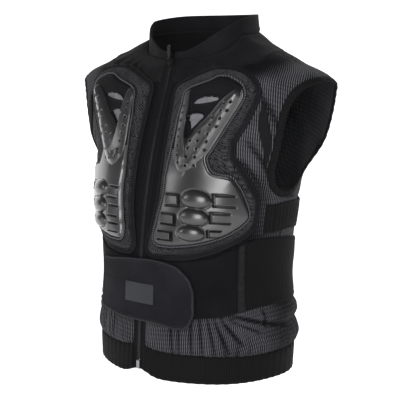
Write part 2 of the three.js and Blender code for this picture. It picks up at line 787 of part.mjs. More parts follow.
function dome({ down, angle, breadth, height }) {
  const sides = 8;
  const lift = shellLift(down, angle);
  const middle = plateHeight(down);
  const turnFor = breadth / 2 / onBody(middle, angle, lift).setZ(0).length();
  const rings = [[1, -0.35], [0.6, 0.9]];
  return loftOf(rings.map(([size, rise]) => Array.from({ length: sides }, (_, k) => {
    const around = (2 * Math.PI * k) / sides;
    return onBody(middle + (height / 2) * size * Math.sin(around),
      angle + deg(turnFor) * size * Math.cos(around), lift + rise * DOME_RISE);
  })));
}

// The window under a louvre tab, and its tongue that rises from the root to its free end.
function tabWindow({ top, foot, hinge, tip }) {
  const end = tip + Math.sign(tip - hinge) * degreesOf(SLOT_WIDTH, 4);
  const [high, low] = [plateHeight(top) + SLOT_WIDTH, plateHeight(foot) - SLOT_WIDTH];
  return blockOn([[high, hinge], [high, end], [low, end], [low, hinge]], 0, 2 * PLATE[1]);
}

function tabTongue({ top, foot, hinge, tip }) {
  const root = hinge - Math.sign(tip - hinge) * degreesOf(SLOT_WIDTH / 2, 4);
  const [rootLift, tipLift] = [root, tip].map((angle) => shellLift((top + foot) / 2, angle));
  const under = PLATE[0] + PLATE_WALL / 2;
  const over = [rootLift - PLATE_WALL / 4, tipLift + TAB_RISE];
  return blockOn([[top, root], [top, tip], [foot, tip], [foot, root]]
    .map(([down, angle]) => [plateHeight(down), angle]), under, [over[0], over[1], over[1], over[0]]);
}

function chestPlate() {
  const shares = [0, 0.08, 0.36, 0.64, 0.92, 1];
  const shell = sheet(PLATE_ROWS.length, shares.length, (i, j, side) => {
    const row = PLATE_ROWS[i];
    const angle = lerp(row.inner, row.outer, shares[j]);
    const rim = j === 0 || j === shares.length - 1;
    const lift = side ? shellLift(row.down, angle) - (rim ? PLATE_WALL / 3 : 0)
      : PLATE[0] + (rim ? 0 : DISH / 2);
    return onBody(plateHeight(row.down), angle, lift);
  });
  const arm = barOn(ARM_PATH, ARM_WIDTH, ARM_RISE);
  const ridge = barOn(RIDGE_PATH, RIDGE_WIDTH, RIDGE_RISE);
  const windows = Object.values(WINDOWS).map((outline) => blockOn(
    outline.map(([down, angle]) => [plateHeight(down), angle]), 0, PLATE[1] + 3 * ARM_RISE));
  const drills = HOLE_ROWS.flatMap(({ along, offsets }) => (
    offsets.map((offset) => drillAt(arm.curve, along, offset))));
  const plain = cutBy(toSolid(shell), [...windows, ...TABS.map(tabWindow)]);
  const raised = joined([arm.solid, ridge.solid, ...DOMES.map(dome), ...TABS.map(tabTongue)]);
  return toGeometry(cutBy(plain.add(raised), drills));
}

function sideStrip() {
  const columns = 3;
  return sheet(STRIP_ROWS.length, columns, (i, j, side) => {
    const row = STRIP_ROWS[i];
    const angle = lerp(row.front, row.rear, j / (columns - 1));
    return onBody(-row.down * BODY_LENGTH, angle, BORDER[side] + DISH / 2);
  });
}

const STRAP_TOP = 202; // below the origin
const STRAP_WIDTH = 40;
const STRAP_SPAN = [-12, 42]; // from the pad's border to its seam on the back
function sideStrap() {
  const columns = 10;
  return sheet(3, columns, (i, j, side) => {
    const angle = lerp(STRAP_SPAN[0], STRAP_SPAN[1], j / (columns - 1));
    const height = -STRAP_TOP - STRAP_WIDTH * (1 - i / 2);
    return onBody(height, angle, side ? BASE + STRAP_WALL : BASE);
  });
}

addPair('side_strip', sideStrip(), FINISHES.webbing);
addPair('side_strap', sideStrap(), FINISHES.elastic);
addPair('pad_border', padBorder(), FINISHES.jersey);
addPair('chest_pad', chestPad(), FINISHES.airMesh);
addPair('plate_piping', platePiping(), FINISHES.webbing);
addPair('chest_plate', chestPlate(), FINISHES.shell);

// Belt

const BONE_FRONT = -26; // angle of the stay channel's front edge
const beltHeight = (share) => -BELT_TOP + share * BELT_HEIGHT;

function beltEdge(angle, share) {
  const turn = turnOf(angle);
  const top = between(BELT_EDGES, 'turn', 'top', turn);
  const foot = between(BELT_EDGES, 'turn', 'foot', turn);
  return beltHeight(lerp(foot, top, share));
}

function beltStretch(from, to, rows, columns, wall) {
  return sheet(rows, columns, (i, j, side) => {
    const angle = lerp(from, to, j / (columns - 1));
    return onBody(beltEdge(angle, i / (rows - 1)), angle, BASE + side * wall);
  });
}

const BONE_REAR = BONE_FRONT + degreesOf(BONE_WIDTH, 4);
const BELT_SEAM = degreesOf(SEAM_GAP, 4);
addPair('belt_panel', beltStretch(FRONT + BELT_SEAM, BONE_FRONT - BELT_SEAM, 4, 8, BELT_WALL),
  FINISHES.loop);
addPair('belt_bone', beltStretch(BONE_FRONT, BONE_REAR, 4, 3, BELT_WALL + 0.8), FINISHES.webbing);
add('belt_back', beltStretch(BONE_REAR + BELT_SEAM, 180 - BONE_REAR - BELT_SEAM, 3, 26, BELT_WALL),
  FINISHES.elastic);

const FLAP_TURN = -60; // where the free end starts to round off
function beltFlap() {
  const rows = 5;
  const sewn = FLAP_EDGES[0].angle;
  const straight = 10;
  const angles = Array.from({ length: straight }, (_, k) => lerp(sewn, FLAP_TURN, k / straight));
  angles.push(...FLAP_EDGES.map((edge) => edge.angle).filter((angle) => angle >= FLAP_TURN));
  return sheet(rows, angles.length, (i, j, side) => {
    const angle = angles[j];
    const top = between(FLAP_EDGES, 'angle', 'top', angle);
    const foot = between(FLAP_EDGES, 'angle', 'foot', angle);
    const height = -BELT_TOP + lerp(foot, top, i / (rows - 1)) * FLAP_DROP;
    return onBody(height, angle, FLAP[side]);
  });
}

const LABEL_SPAN = [-100, -75.5];
const LABEL_DROP = [0.54, 0.86]; // top and foot below BELT_TOP, as shares of FLAP_DROP
function beltLabel() {
  const columns = 4;
  return sheet(3, columns, (i, j, side) => {
    const angle = lerp(LABEL_SPAN[0], LABEL_SPAN[1], j / (columns - 1));
    const height = -BELT_TOP - FLAP_DROP * lerp(LABEL_DROP[1], LABEL_DROP[0], i / 2);
    return onBody(height, angle, LABEL[side]);
  });
}

add('belt_flap', beltFlap(), FINISHES.loop);
add('belt_label', beltLabel(), FINISHES.patch);

// Skirt and hem

// Rise of the gathered skirt between the belt's foot (share 0) and the hem band (share 1): one
// soft roll in front, two rolls at the sides and the back, and upright folds all round.
const SKIRT_ROWS = table('share front side', [
  [-1, 0, 0], [-0.5, -0.05, -0.05], [0, 0, 0], [0.22, 0.2, 0.85], [0.47, 0.4, 0.35], [0.74, 0.4, 1],
  [1, 0.1, 0.1],
]);
const SKIRT_COLUMNS = 13;
const SKIRT_BACK_COLUMNS = 19;
const SKIRT_FOOT = 1 + LEVEL_GAP; // level of the seam with the hem band

function skirtPoint(i, angle, side) {
  const { share, front, side: flank } = SKIRT_ROWS[i];
  const head = bodyPoint(PANEL_FOOT - LEVEL_GAP, angle).z;
  const foot = bodyPoint(SKIRT_FOOT, angle).z;
  const belt = beltEdge(angle, 0);
  const height = share < 0 ? lerp(belt, head, -share) : lerp(belt, foot, share);
  const sideward = THREE.MathUtils.smoothstep(turnOf(angle), 45, 85);
  const fold = SKIRT_FOLD_RISE * Math.cos(rad(turnOf(angle)) * SKIRT_FOLDS);
  const rise = share > 0 && share < 1 ? fold * share : 0;
  const lift = clothLift(side) + SKIRT_PUFF * lerp(front, flank, sideward) + rise;
  return skin(Math.max(levelAt(height, angle), SKIRT_FOOT), angle, lift);
}

function skirtStretch(from, to, columns) {
  return sheet(SKIRT_ROWS.length, columns, (i, j, side) => (
    skirtPoint(i, lerp(from(i), to, j / (columns - 1)), side)));
}

const SKIRT_SEAM = degreesOf(SEAM_GAP / 2, 2);
const skirtStart = (i) => frontAngle(lerp(PANEL_FOOT, 1, i / (SKIRT_ROWS.length - 1)), PANEL_START);
addPair('skirt', skirtStretch(skirtStart, SEAM_ANGLE - SKIRT_SEAM, SKIRT_COLUMNS), FINISHES.mesh);
add('skirt_back', skirtStretch(() => SEAM_ANGLE + SKIRT_SEAM, 180 - SEAM_ANGLE - SKIRT_SEAM,
  SKIRT_BACK_COLUMNS), FINISHES.mesh);

function hemBand() {
  const rows = 2;
  const { count, angleAt } = roundColumns(SKIRT_COLUMNS, SKIRT_BACK_COLUMNS);
  const lifts = [-0.35 * HEM_WALL, 0.65 * HEM_WALL];
  return sheet(rows, count, (i, j, side) => {
    const level = (i / (rows - 1)) * (1 - LEVEL_GAP);
    return skin(level, angleAt(frontAngle(level, PANEL_START), j), lifts[side]);
  });
}
add('hem_band', hemBand(), FINISHES.elastic);

// Zip: two tapes, the closed chain between them, a slider at the neck and a box at the hem

const ZIP_LEVELS = [0, 0.4, 1, 2, 3, 4, 5, 5.6, 6.3, 7, 7.6, 8.2, 9, 10, NECK_LEVEL - LEVEL_GAP];

function zipTape() {
  const edges = [CHAIN_WIDTH / 2 + SEAM_GAP, CHAIN_WIDTH / 2 + SEAM_GAP + TAPE_WIDTH];
  return sheet(ZIP_LEVELS.length, 2, (i, j, side) => {
    const level = ZIP_LEVELS[i];
    return skin(level, frontAngle(level, edges[j]), (side - 0.5) * TAPE_WALL);
  });
}

const BOX_TOP = levelAt(bodyPoint(0, FRONT).z + BOX_HEIGHT, FRONT);
const CHAIN_LIFTS = [-TAPE_WALL / 2, CHAIN_WALL - TAPE_WALL / 2];

function chainPoint(level, x, lift) {
  const angle = frontAngle(level, Math.abs(x));
  return skin(level, x < 0 ? 2 * FRONT - angle : angle, lift);
}

function zipChain() {
  const levels = [BOX_TOP + LEVEL_GAP, ...ZIP_LEVELS.filter((level) => level > BOX_TOP)];
  return sheet(levels.length + 1, 3, (i, j, side) => {
    const x = (j - 1) * (CHAIN_WIDTH / 2);
    if (i < levels.length) return chainPoint(levels[i], x, CHAIN_LIFTS[side]);
    const foot = chainPoint(NECK_LEVEL, x, CHAIN_LIFTS[side]);
    return foot.lerp(rimPoint(FRONT).setX(x).setY(foot.y + 1), 0.8);
  });
}

function zipBox() {
  const lifts = [CHAIN_LIFTS[0] - 0.6, CHAIN_LIFTS[0] - 0.6 + BOX_WALL];
  return sheet(2, 2, (i, j, side) => (
    chainPoint(i * (BOX_TOP - LEVEL_GAP), (j - 0.5) * (CHAIN_WIDTH - 0.1), lifts[side])));
}

addPair('zip_tape', zipTape(), FINISHES.zipTape);
add('zip_chain', zipChain(), FINISHES.blackMetal);
add('zip_box', zipBox(), FINISHES.silver);

// Slider frame: x across, y up along the zip, z out of the chain.
const SLIDER_LEVEL = 10.66;
const sliderSpot = skin(SLIDER_LEVEL, FRONT, CHAIN_LIFTS[1] + SEAM_GAP + 0.1);
const sliderOut = bodyNormal(SLIDER_LEVEL, FRONT);
const sliderUp = sliderOut.clone().cross(new THREE.Vector3(1, 0, 0));
const sliderTurn = new THREE.Quaternion().setFromRotationMatrix(
  new THREE.Matrix4().makeBasis(new THREE.Vector3(1, 0, 0), sliderUp, sliderOut));
const EYE_RADIUS = PIN_RADIUS + SEAM_GAP + 0.9;
const EYE_WIDTH = 3.2;
const PIN_LIFT = SLIDER_WALL + EYE_RADIUS + 0.5;
const PIN_UP = 0.25 * SLIDER_HEIGHT;

function zipSlider() {
  const half = SLIDER_WIDTH / 2;
  const body = new THREE.Shape([
    new THREE.Vector2(-0.6 * half, -SLIDER_HEIGHT / 2),
    new THREE.Vector2(0.6 * half, -SLIDER_HEIGHT / 2),
    new THREE.Vector2(half, 0.1 * SLIDER_HEIGHT),
    new THREE.Vector2(0.8 * half, SLIDER_HEIGHT / 2),
    new THREE.Vector2(-0.8 * half, SLIDER_HEIGHT / 2),
    new THREE.Vector2(-half, 0.1 * SLIDER_HEIGHT),
  ]);
  const plate = new THREE.ExtrudeGeometry(body, { depth: SLIDER_WALL, bevelEnabled: false });
  const lugX = EYE_WIDTH / 2 + SEAM_GAP + LUG_WALL / 2;
  const lugs = [-lugX, lugX].map((x) => {
    const lug = new THREE.BoxGeometry(LUG_WALL, 2.4 * PIN_RADIUS * 2, EYE_RADIUS * 2 + 1.4);
    return lug.translate(x, PIN_UP, PIN_LIFT - 0.7);
  });
  const pin = new THREE.CylinderGeometry(PIN_RADIUS, PIN_RADIUS, 2 * lugX, 8);
  pin.rotateZ(Math.PI / 2).translate(0, PIN_UP, PIN_LIFT);
  return toGeometry(joined([plate, ...lugs, pin]));
}

function zipPull() {
  const neck = EYE_RADIUS + 1.2;
  const outline = [
    [-EYE_WIDTH / 2, 0.4], [-EYE_WIDTH / 2, neck], [-PULL_WIDTH / 2, neck + 2],
    [-PULL_WIDTH / 2, PULL_LENGTH - 2], [-PULL_WIDTH / 4, PULL_LENGTH],
    [PULL_WIDTH / 4, PULL_LENGTH], [PULL_WIDTH / 2, PULL_LENGTH - 2], [PULL_WIDTH / 2, neck + 2],
    [EYE_WIDTH / 2, neck], [EYE_WIDTH / 2, 0.4],
  ];
  const shape = new THREE.Shape(outline.map(([x, y]) => new THREE.Vector2(x, y)));
  const tab = new THREE.ExtrudeGeometry(shape, { depth: PULL_WALL, bevelEnabled: false });
  tab.translate(0, 0, -PULL_WALL / 2).rotateX(Math.PI / 2);
  const eye = new THREE.CylinderGeometry(EYE_RADIUS, EYE_RADIUS, EYE_WIDTH, 10).rotateZ(Math.PI / 2);
  const boreRadius = PIN_RADIUS + SEAM_GAP;
  const bore = new THREE.CylinderGeometry(boreRadius, boreRadius, 2 * EYE_WIDTH, 10);
  const hole = new THREE.CylinderGeometry(PULL_WIDTH / 4, PULL_WIDTH / 4, 4 * PULL_WALL, 8);
  hole.translate(0, 0, PULL_LENGTH - 3.4);
  return toGeometry(cutBy(joined([tab, eye]), [bore.rotateZ(Math.PI / 2), hole]));
}

const slider = add('zip_slider', zipSlider(), FINISHES.blackMetal);
slider.position.copy(sliderSpot);
slider.quaternion.copy(sliderTurn);
const pull = add('zip_pull', zipPull(), FINISHES.blackMetal);
pull.position.set(0, PIN_UP, PIN_LIFT).applyQuaternion(sliderTurn).add(sliderSpot);

export default vest;
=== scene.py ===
import math

import bpy
import numpy as np
from bpy.props import FloatProperty, FloatVectorProperty, PointerProperty
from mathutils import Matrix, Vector
from mathutils.kdtree import KDTree


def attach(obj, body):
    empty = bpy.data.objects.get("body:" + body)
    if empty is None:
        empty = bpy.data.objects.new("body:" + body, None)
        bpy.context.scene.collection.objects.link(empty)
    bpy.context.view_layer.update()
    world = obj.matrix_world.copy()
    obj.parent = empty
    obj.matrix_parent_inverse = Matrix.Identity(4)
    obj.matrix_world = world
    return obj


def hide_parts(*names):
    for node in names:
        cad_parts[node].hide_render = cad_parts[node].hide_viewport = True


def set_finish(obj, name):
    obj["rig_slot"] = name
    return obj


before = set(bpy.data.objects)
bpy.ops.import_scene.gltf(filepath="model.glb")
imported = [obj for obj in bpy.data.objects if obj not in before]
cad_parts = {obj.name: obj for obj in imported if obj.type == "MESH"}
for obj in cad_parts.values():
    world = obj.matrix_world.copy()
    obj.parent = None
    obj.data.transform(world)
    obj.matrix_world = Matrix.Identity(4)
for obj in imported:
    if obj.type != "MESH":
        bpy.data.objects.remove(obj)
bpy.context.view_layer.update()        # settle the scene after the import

bl_info = {
    "name": "Motorcycle Armour Vest",
    "version": (1, 0, 0),
    "blender": (4, 5, 0),
    "location": "3D View > Sidebar > Vest",
    "description": "Builds the cloth, pads, moulded plates, belt and zip of an armour vest",
    "category": "Add Mesh",
}

# Sizes and colours that a user would change


def hex_colour(text):
    """Linear red, green and blue of an sRGB hex value."""
    parts = [int(text[k:k + 2], 16) / 255 for k in (1, 3, 5)]
    return tuple(c / 12.92 if c <= 0.04045 else ((c + 0.055) / 1.055) ** 2.4 for c in parts)


def length(name, description, millimetres):
    return FloatProperty(name=name, description=description, default=millimetres / 1000,
                         min=0, unit='LENGTH')


def colour(name, description, text):
    return FloatVectorProperty(name=name, description=description, default=hex_colour(text),
                               min=0, max=1, size=3, subtype='COLOR')


class VestFormSettings(bpy.types.PropertyGroup):
    body_length: length("Body length", "Neck level down to the hem edge", 452)
    torso_breadth: length("Torso breadth", "Side to side round the waist", 300)
    torso_depth: length("Torso depth", "Front to back round the waist", 226)
    shoulder_breadth: length("Shoulder breadth", "Shoulder tip to shoulder tip", 456)
    neck_breadth: length("Neck breadth", "Seam to seam across the neck opening", 176)
    zip_raise: length("Zip raise", "How far the closed zip pulls the hem up", 10)
    collar_breadth: length("Collar breadth", "Side to side across the collar's rim", 168)
    collar_top: length("Collar top", "Back of the collar's rim over the origin", 56)


class VestClothSettings(bpy.types.PropertyGroup):
    mesh_wall: length("Mesh wall", "Thickness of the knitted mesh", 2)
    rib_pitch: length("Rib pitch", "Distance between the mesh's upright ribs", 3.1)
    collar_wall: length("Collar wall", "Thickness of the stand collar", 3)
    hem_wall: length("Hem wall", "Thickness of the elastic hem band", 3.6)
    skirt_puff: length("Skirt puff", "How far the gathered skirt stands out", 7)
    fold_pitch: length("Fold pitch", "Distance between the skirt's upright folds", 13)
    mesh_light: colour("Mesh rib", "Lit side of the mesh's ribs", "#68686d")
    mesh_dark: colour("Mesh gap", "Gaps between the mesh's ribs", "#121215")
    jersey: colour("Jersey", "Collar, yoke and bindings", "#1b1b1d")
    elastic: colour("Elastic", "Hem band, belt back and straps", "#161617")


class VestArmourSettings(bpy.types.PropertyGroup):
    pad_wall: length("Pad wall", "Thickness of the foam pad", 6.8)
    plate_wall: length("Plate wall", "Thickness of the moulded plate", 2.8)
    arm_rise: length("Arm rise", "Height of the arm over the plate", 5.5)
    hole_diameter: length("Hole diameter", "Holes in the arm", 3.4)
    dome_rise: length("Dome rise", "Height of the domes over the plate", 6.2)
    cord_radius: length("Cord radius", "Radius of one strand of the piping cord", 1)
    shell_colour: colour("Shell", "Moulded plate", "#1d1d20")
    pad_light: colour("Pad yarn", "Raised yarn of the pad's spacer mesh", "#5c5c60")
    pad_dark: colour("Pad gap", "Gaps in the pad's spacer mesh", "#0d0d0f")


class VestBeltSettings(bpy.types.PropertyGroup):
    belt_top: length("Belt top", "Belt's upper edge below the origin", 270)
    belt_height: length("Belt height", "Height of the belt", 84)
    flap_drop: length("Flap drop", "Height of the wrap-over flap", 88)
    flap_wall: length("Flap wall", "Thickness of the flap", 3.4)
    loop_colour: colour("Loop cloth", "Brushed cloth of the belt and flap", "#17171a")
    patch_colour: colour("Patch", "Bare patch on the flap", "#303136")


class VestZipSettings(bpy.types.PropertyGroup):
    chain_width: length("Chain width", "Width of the closed chain", 5.8)
    tape_width: length("Tape width", "Width of each zip tape", 9)
    tooth_pitch: length("Tooth pitch", "Distance from tooth to tooth", 2.6)
    tooth_colour: colour("Teeth", "Moulded zip teeth", "#1a1a1c")


SETTINGS = {
    "vest_form": VestFormSettings,
    "vest_cloth": VestClothSettings,
    "vest_armour": VestArmourSettings,
    "vest_belt": VestBeltSettings,
    "vest_zip": VestZipSettings,
}


class Sizes:
    """Lengths of one settings group in millimetres, and its colours as they are."""

    def __init__(self, group):
        self.group = group

    def __getattr__(self, name):
        value = getattr(self.group, name)
        return value * 1000 if isinstance(value, float) else tuple(value)


# The body form: level rounds from the hem up to the neck seam. Front, side and back are heights
# as shares of the body length, across is a share of half the breadth that the round follows,
# ahead and behind are shares of the torso depth, square is the corner power of the round, and
# an ease below 1 keeps the front of a round level before it climbs to the side.
TORSO, SHOULDERS, NECK = range(3)
ROUNDS = [
    # front, side, back, follows, across, ahead, behind, square, ease
    (-1.0, -0.996, -0.985, TORSO, 1.0, 0.549, 0.451, 2.2, 1),
    (-0.909, -0.909, -0.898, TORSO, 1.02, 0.544, 0.46, 2.2, 1),
    (-0.81, -0.796, -0.792, TORSO, 1.007, 0.535, 0.456, 2.2, 1),
    (-0.704, -0.697, -0.695, TORSO, 0.98, 0.527, 0.447, 2.2, 1),
    (-0.602, -0.597, -0.597, TORSO, 0.993, 0.518, 0.447, 2.25, 1),
    (-0.469, -0.467, -0.465, TORSO, 1.04, 0.487, 0.456, 2.3, 1),
    (-0.345, -0.363, -0.345, TORSO, 1.12, 0.442, 0.478, 2.3, 1),
    (-0.243, -0.248, -0.221, SHOULDERS, 0.906, 0.389, 0.496, 2.25, 1),
    (-0.155, -0.094, -0.106, SHOULDERS, 1.0, 0.332, 0.469, 2.1, 1),
    (-0.102, -0.026, -0.035, SHOULDERS, 0.759, 0.296, 0.438, 2.0, 0.6),
    (-0.053, 0.015, 0.02, SHOULDERS, 0.554, 0.265, 0.403, 2.0, 0.3),
    (-0.02, 0.053, 0.066, NECK, 1.0, 0.235, 0.376, 2.0, 0.07),
]
NECK_LEVEL = len(ROUNDS) - 1
FRONT = -90.0


def smooth_rows(rows, at):
    """Smooth curve through rows that never overshoots them; at is a row number and part of one."""
    rows = np.asarray(rows, float)
    steps = rows[1:] - rows[:-1]
    mean = (steps[1:] + steps[:-1]) / 2
    most = 3 * np.minimum(abs(steps[1:]), abs(steps[:-1]))
    inner = np.where(steps[1:] * steps[:-1] <= 0, 0, np.sign(mean) * np.minimum(abs(mean), most))
    slopes = np.concatenate([steps[:1], inner, steps[-1:]])
    at = np.clip(np.asarray(at, float), 0, len(rows) - 1)
    k = np.clip(np.floor(at).astype(int), 0, len(rows) - 2)
    f = (at - k)[..., None]
    return ((2 * f**3 - 3 * f**2 + 1) * rows[k] + (f**3 - 2 * f**2 + f) * slopes[k]
            + (3 * f**2 - 2 * f**3) * rows[k + 1] + (f**3 - f**2) * slopes[k + 1])


def smooth_at(table, key):
    """Columns of a table after the first, where the first column has the value key."""
    table = np.asarray(table, float)
    at = np.interp(key, table[:, 0], np.arange(len(table)))
    return np.moveaxis(smooth_rows(table[:, 1:], at), -1, 0)


def smoothstep(low, high, value):
    f = np.clip((value - low) / (high - low), 0, 1)
    return f * f * (3 - 2 * f)


def mix(low, high, share):
    return low + (high - low) * share


def bell(value, centre, width):
    return np.exp(-((value - centre) / width) ** 2)


def shares(rows, columns):
    """Shares of the way up a grid as a column, and along it as a row."""
    return np.linspace(0, 1, rows)[:, None], np.linspace(0, 1, columns)[None]


def lifted(base, normal, lift):
    """Points raised off a base along its normals."""
    return base + np.broadcast_to(lift, base.shape[:-1])[..., None] * normal


def turn_of(angle):
    """Angle from the front centre, 0 to 180 on either side."""
    return abs((np.asarray(angle, float) - FRONT + 180) % 360 - 180)


class BodyForm:
    """The shape under the cloth: levels count the rounds, angles run round it in degrees."""

    def __init__(self, sizes):
        half = [sizes.torso_breadth / 2, sizes.shoulder_breadth / 2, sizes.neck_breadth / 2]
        tall, deep = sizes.body_length, sizes.torso_depth
        self.raise_by = sizes.zip_raise
        self.rows = np.array([
            (front * tall, side * tall, back * tall, across * half[follows],
             ahead * deep, behind * deep, square, ease)
            for front, side, back, follows, across, ahead, behind, square, ease in ROUNDS])

    def point(self, level, angle):
        level, angle = np.broadcast_arrays(np.asarray(level, float), np.asarray(angle, float))
        front, side, back, half, ahead, behind, square, ease = np.moveaxis(
            smooth_rows(self.rows, level), -1, 0)
        c, s = np.cos(np.radians(angle)), np.sin(np.radians(angle))
        depth = np.where(s < 0, ahead, behind)
        reach = (abs(c / half) ** square + abs(s / depth) ** square) ** (-1 / square)
        climb = s * s / (s * s + ease * c * c)
        pull = self.raise_by * np.clip(1 - level / 2, 0, 1) * bell(turn_of(angle), 0, 10)
        height = mix(side, np.where(s < 0, front, back), climb) + pull
        return np.stack([reach * c, reach * s, height], -1)

    def normal(self, level, angle):
        step = 0.01
        up = (self.point(np.minimum(level + step, NECK_LEVEL), angle)
              - self.point(np.maximum(level - step, 0), angle))
        across = self.point(level, angle + step) - self.point(level, angle - step)
        out = np.cross(across, up)
        return out / np.linalg.norm(out, axis=-1, keepdims=True)

    def ground(self, level, angle):
        """Points on the form with their normals."""
        return self.point(level, angle), self.normal(level, angle)

    def level_at(self, height, angle):
        height, angle = np.broadcast_arrays(np.asarray(height, float), np.asarray(angle, float))
        low, high = np.zeros(height.shape), np.full(height.shape, float(NECK_LEVEL))
        for _ in range(22):
            middle = (low + high) / 2
            under = self.point(middle, angle)[..., 2] < height
            low, high = np.where(under, middle, low), np.where(under, high, middle)
        return (low + high) / 2

    def ground_at(self, height, angle):
        return self.ground(self.level_at(height, angle), angle)

    def front_angle(self, level, across):
        """Angle of the front point that lies a distance across to the wearer's left."""
        level, across = np.broadcast_arrays(np.asarray(level, float), np.asarray(across, float))
        low, high = np.full(level.shape, FRONT), np.full(level.shape, FRONT + 60)
        for _ in range(24):
            middle = (low + high) / 2
            short = self.point(level, middle)[..., 0] < across
            low, high = np.where(short, middle, low), np.where(short, high, middle)
        return (low + high) / 2

    def degrees(self, distance, level):
        """Degrees that a distance takes up beside the arms."""
        return np.degrees(distance / smooth_rows(self.rows, level)[..., 3])


def sizes_of(group):
    return Sizes(getattr(bpy.context.scene, f"vest_{group}"))


def body_form():
    return BodyForm(sizes_of("form"))


# Meshes


def new_piece(name, points, faces, material, uv=None, marks=None, slot=None, smooth=True):
    """A mesh object from points in millimetres, with its cloth plan and its named marks."""
    mesh = bpy.data.meshes.new(name)
    mesh.from_pydata((np.asarray(points) / 1000).tolist(), [], [tuple(face) for face in faces])
    corner = np.zeros(len(mesh.loops), int)
    mesh.loops.foreach_get("vertex_index", corner)
    if uv is not None:
        plan = mesh.uv_layers.new(name="plan_mm")
        plan.data.foreach_set("uv", np.asarray(uv, float)[corner].ravel())
    for mark, values in (marks or {}).items():
        layer = mesh.attributes.new(mark, 'FLOAT', 'POINT')
        layer.data.foreach_set("value", np.asarray(values, float).ravel())
    mesh.polygons.foreach_set("use_smooth", np.full(len(mesh.polygons), smooth))
    mesh.materials.append(material)
    mesh.validate()
    piece = bpy.data.objects.new(name, mesh)
    bpy.context.scene.collection.objects.link(piece)
    if slot:
        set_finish(piece, slot)
    return piece


def grid_faces(rows, columns, wrap=False):
    """Four-cornered faces of a grid of rows by columns, the last column joined to the first."""
    i, j = np.meshgrid(np.arange(rows - 1), np.arange(columns if wrap else columns - 1),
                       indexing='ij')
    k = (j + 1) % columns
    return np.stack([i * columns + j, i * columns + k, (i + 1) * columns + k,
                     (i + 1) * columns + j], -1).reshape(-1, 4)


def tube_faces(count, size):
    """Faces of a closed tube of sections, the last section joined to the first."""
    last, first = (count - 1) * size + np.arange(size), np.arange(size)
    return np.concatenate([grid_faces(count, size, wrap=True), np.stack(
        [last, np.roll(last, -1), np.roll(first, -1), first], -1)])


def rim_of(rows, columns):
    """Indices round a grid, once."""
    grid = np.arange(rows * columns).reshape(rows, columns)
    return np.concatenate([grid[0, :-1], grid[:-1, -1], grid[-1, :0:-1], grid[:0:-1, 0]])


def cloth_plan(points):
    """Distances along the rows and up the columns of a grid, in millimetres."""
    along = np.linalg.norm(np.diff(points, axis=1), axis=-1)
    up = np.linalg.norm(np.diff(points, axis=0), axis=-1)
    u = np.concatenate([np.zeros((len(points), 1)), np.cumsum(along, axis=1)], axis=1)
    v = np.concatenate([np.zeros((1, points.shape[1])), np.cumsum(up, axis=0)])
    return u, v


def sheet(name, outer, inner, kind, slot, plan=None, marks=None, rim=0):
    """A closed wall between two grids of points; rim rounds its edge over that many rows."""
    rows, columns = outer.shape[:2]
    u, v = plan or cloth_plan(outer)
    if rim:
        middle = (outer + inner) / 2
        i = np.minimum(np.arange(rows), np.arange(rows)[::-1])[:, None]
        j = np.minimum(np.arange(columns), np.arange(columns)[::-1])[None]
        near = np.clip(np.minimum(i, j) / rim, 0, 1)
        full = np.sqrt(1 - (1 - near) ** 2)[..., None] * 0.8 + 0.2
        outer, inner = mix(middle, outer, full), mix(middle, inner, full)
    faces = grid_faces(rows, columns)
    back = faces[:, ::-1] + rows * columns
    edge = rim_of(rows, columns)
    after = np.roll(edge, -1)
    wall = np.stack([after, edge, edge + rows * columns, after + rows * columns], -1)
    points = np.concatenate([outer.reshape(-1, 3), inner.reshape(-1, 3)])
    flat = np.stack([u, v], -1).reshape(-1, 2)
    doubled = {mark: np.concatenate([value.ravel()] * 2) for mark, value in (marks or {}).items()}
    return new_piece(name, points, np.concatenate([faces, back, wall]).tolist(),
                     finish_of(kind), np.concatenate([flat, flat]), doubled, slot)


def swept(name, stations, kind, pitch):
    """A closed tube whose section follows stations; pitch spaces its cloth plan both ways."""
    count, size = stations.shape[:2]
    u = np.repeat(np.arange(count) * pitch[0], size)
    v = np.tile(np.arange(size) * pitch[1], count)
    return new_piece(name, stations.reshape(-1, 3), tube_faces(count, size).tolist(),
                     finish_of(kind), np.stack([u, v], -1), slot=kind)


def even_loop(points, spacing, closed=True):
    """The same line with points a spacing apart."""
    points = np.asarray(points, float)
    if closed:
        points = np.concatenate([points, points[:1]])
    way = np.concatenate([[0], np.cumsum(np.linalg.norm(np.diff(points, axis=0), axis=-1))])
    count = max(int(way[-1] / spacing), 8)
    at = np.linspace(0, way[-1], count, endpoint=not closed)
    return np.stack([np.interp(at, way, points[:, k]) for k in range(points.shape[1])], -1)


def rounded_loop(points, reach):
    """A closed loop whose corners are eased over a number of points to each side."""
    weights = np.hanning(2 * reach + 3)[1:-1]
    weights /= weights.sum()
    return sum(w * np.roll(points, k - reach, axis=0) for k, w in enumerate(weights))


def nearest(points, line):
    """Distance from each point to the nearest point of a line."""
    tree = KDTree(len(line))
    for k, point in enumerate(line):
        tree.insert(point, k)
    tree.balance()
    away = [tree.find(point)[2] for point in points.reshape(-1, 3).tolist()]
    return np.array(away).reshape(points.shape[:-1])


def mirrored(piece, name):
    """The same piece on the wearer's other side, with its faces turned back out."""
    mesh = piece.data.copy()
    mesh.name = name
    for vertex in mesh.vertices:
        vertex.co.x = -vertex.co.x
    mesh.flip_normals()
    copy = bpy.data.objects.new(name, mesh)
    bpy.context.scene.collection.objects.link(copy)
    if piece.get("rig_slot"):
        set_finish(copy, piece["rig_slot"])
    return copy


def sheet_area(outer):
    """Area of a grid of points in square metres."""
    a, b = outer[1:, 1:] - outer[:-1, :-1], outer[1:, :-1] - outer[:-1, 1:]
    return float(np.linalg.norm(np.cross(a, b), axis=-1).sum() / 2) / 1e6


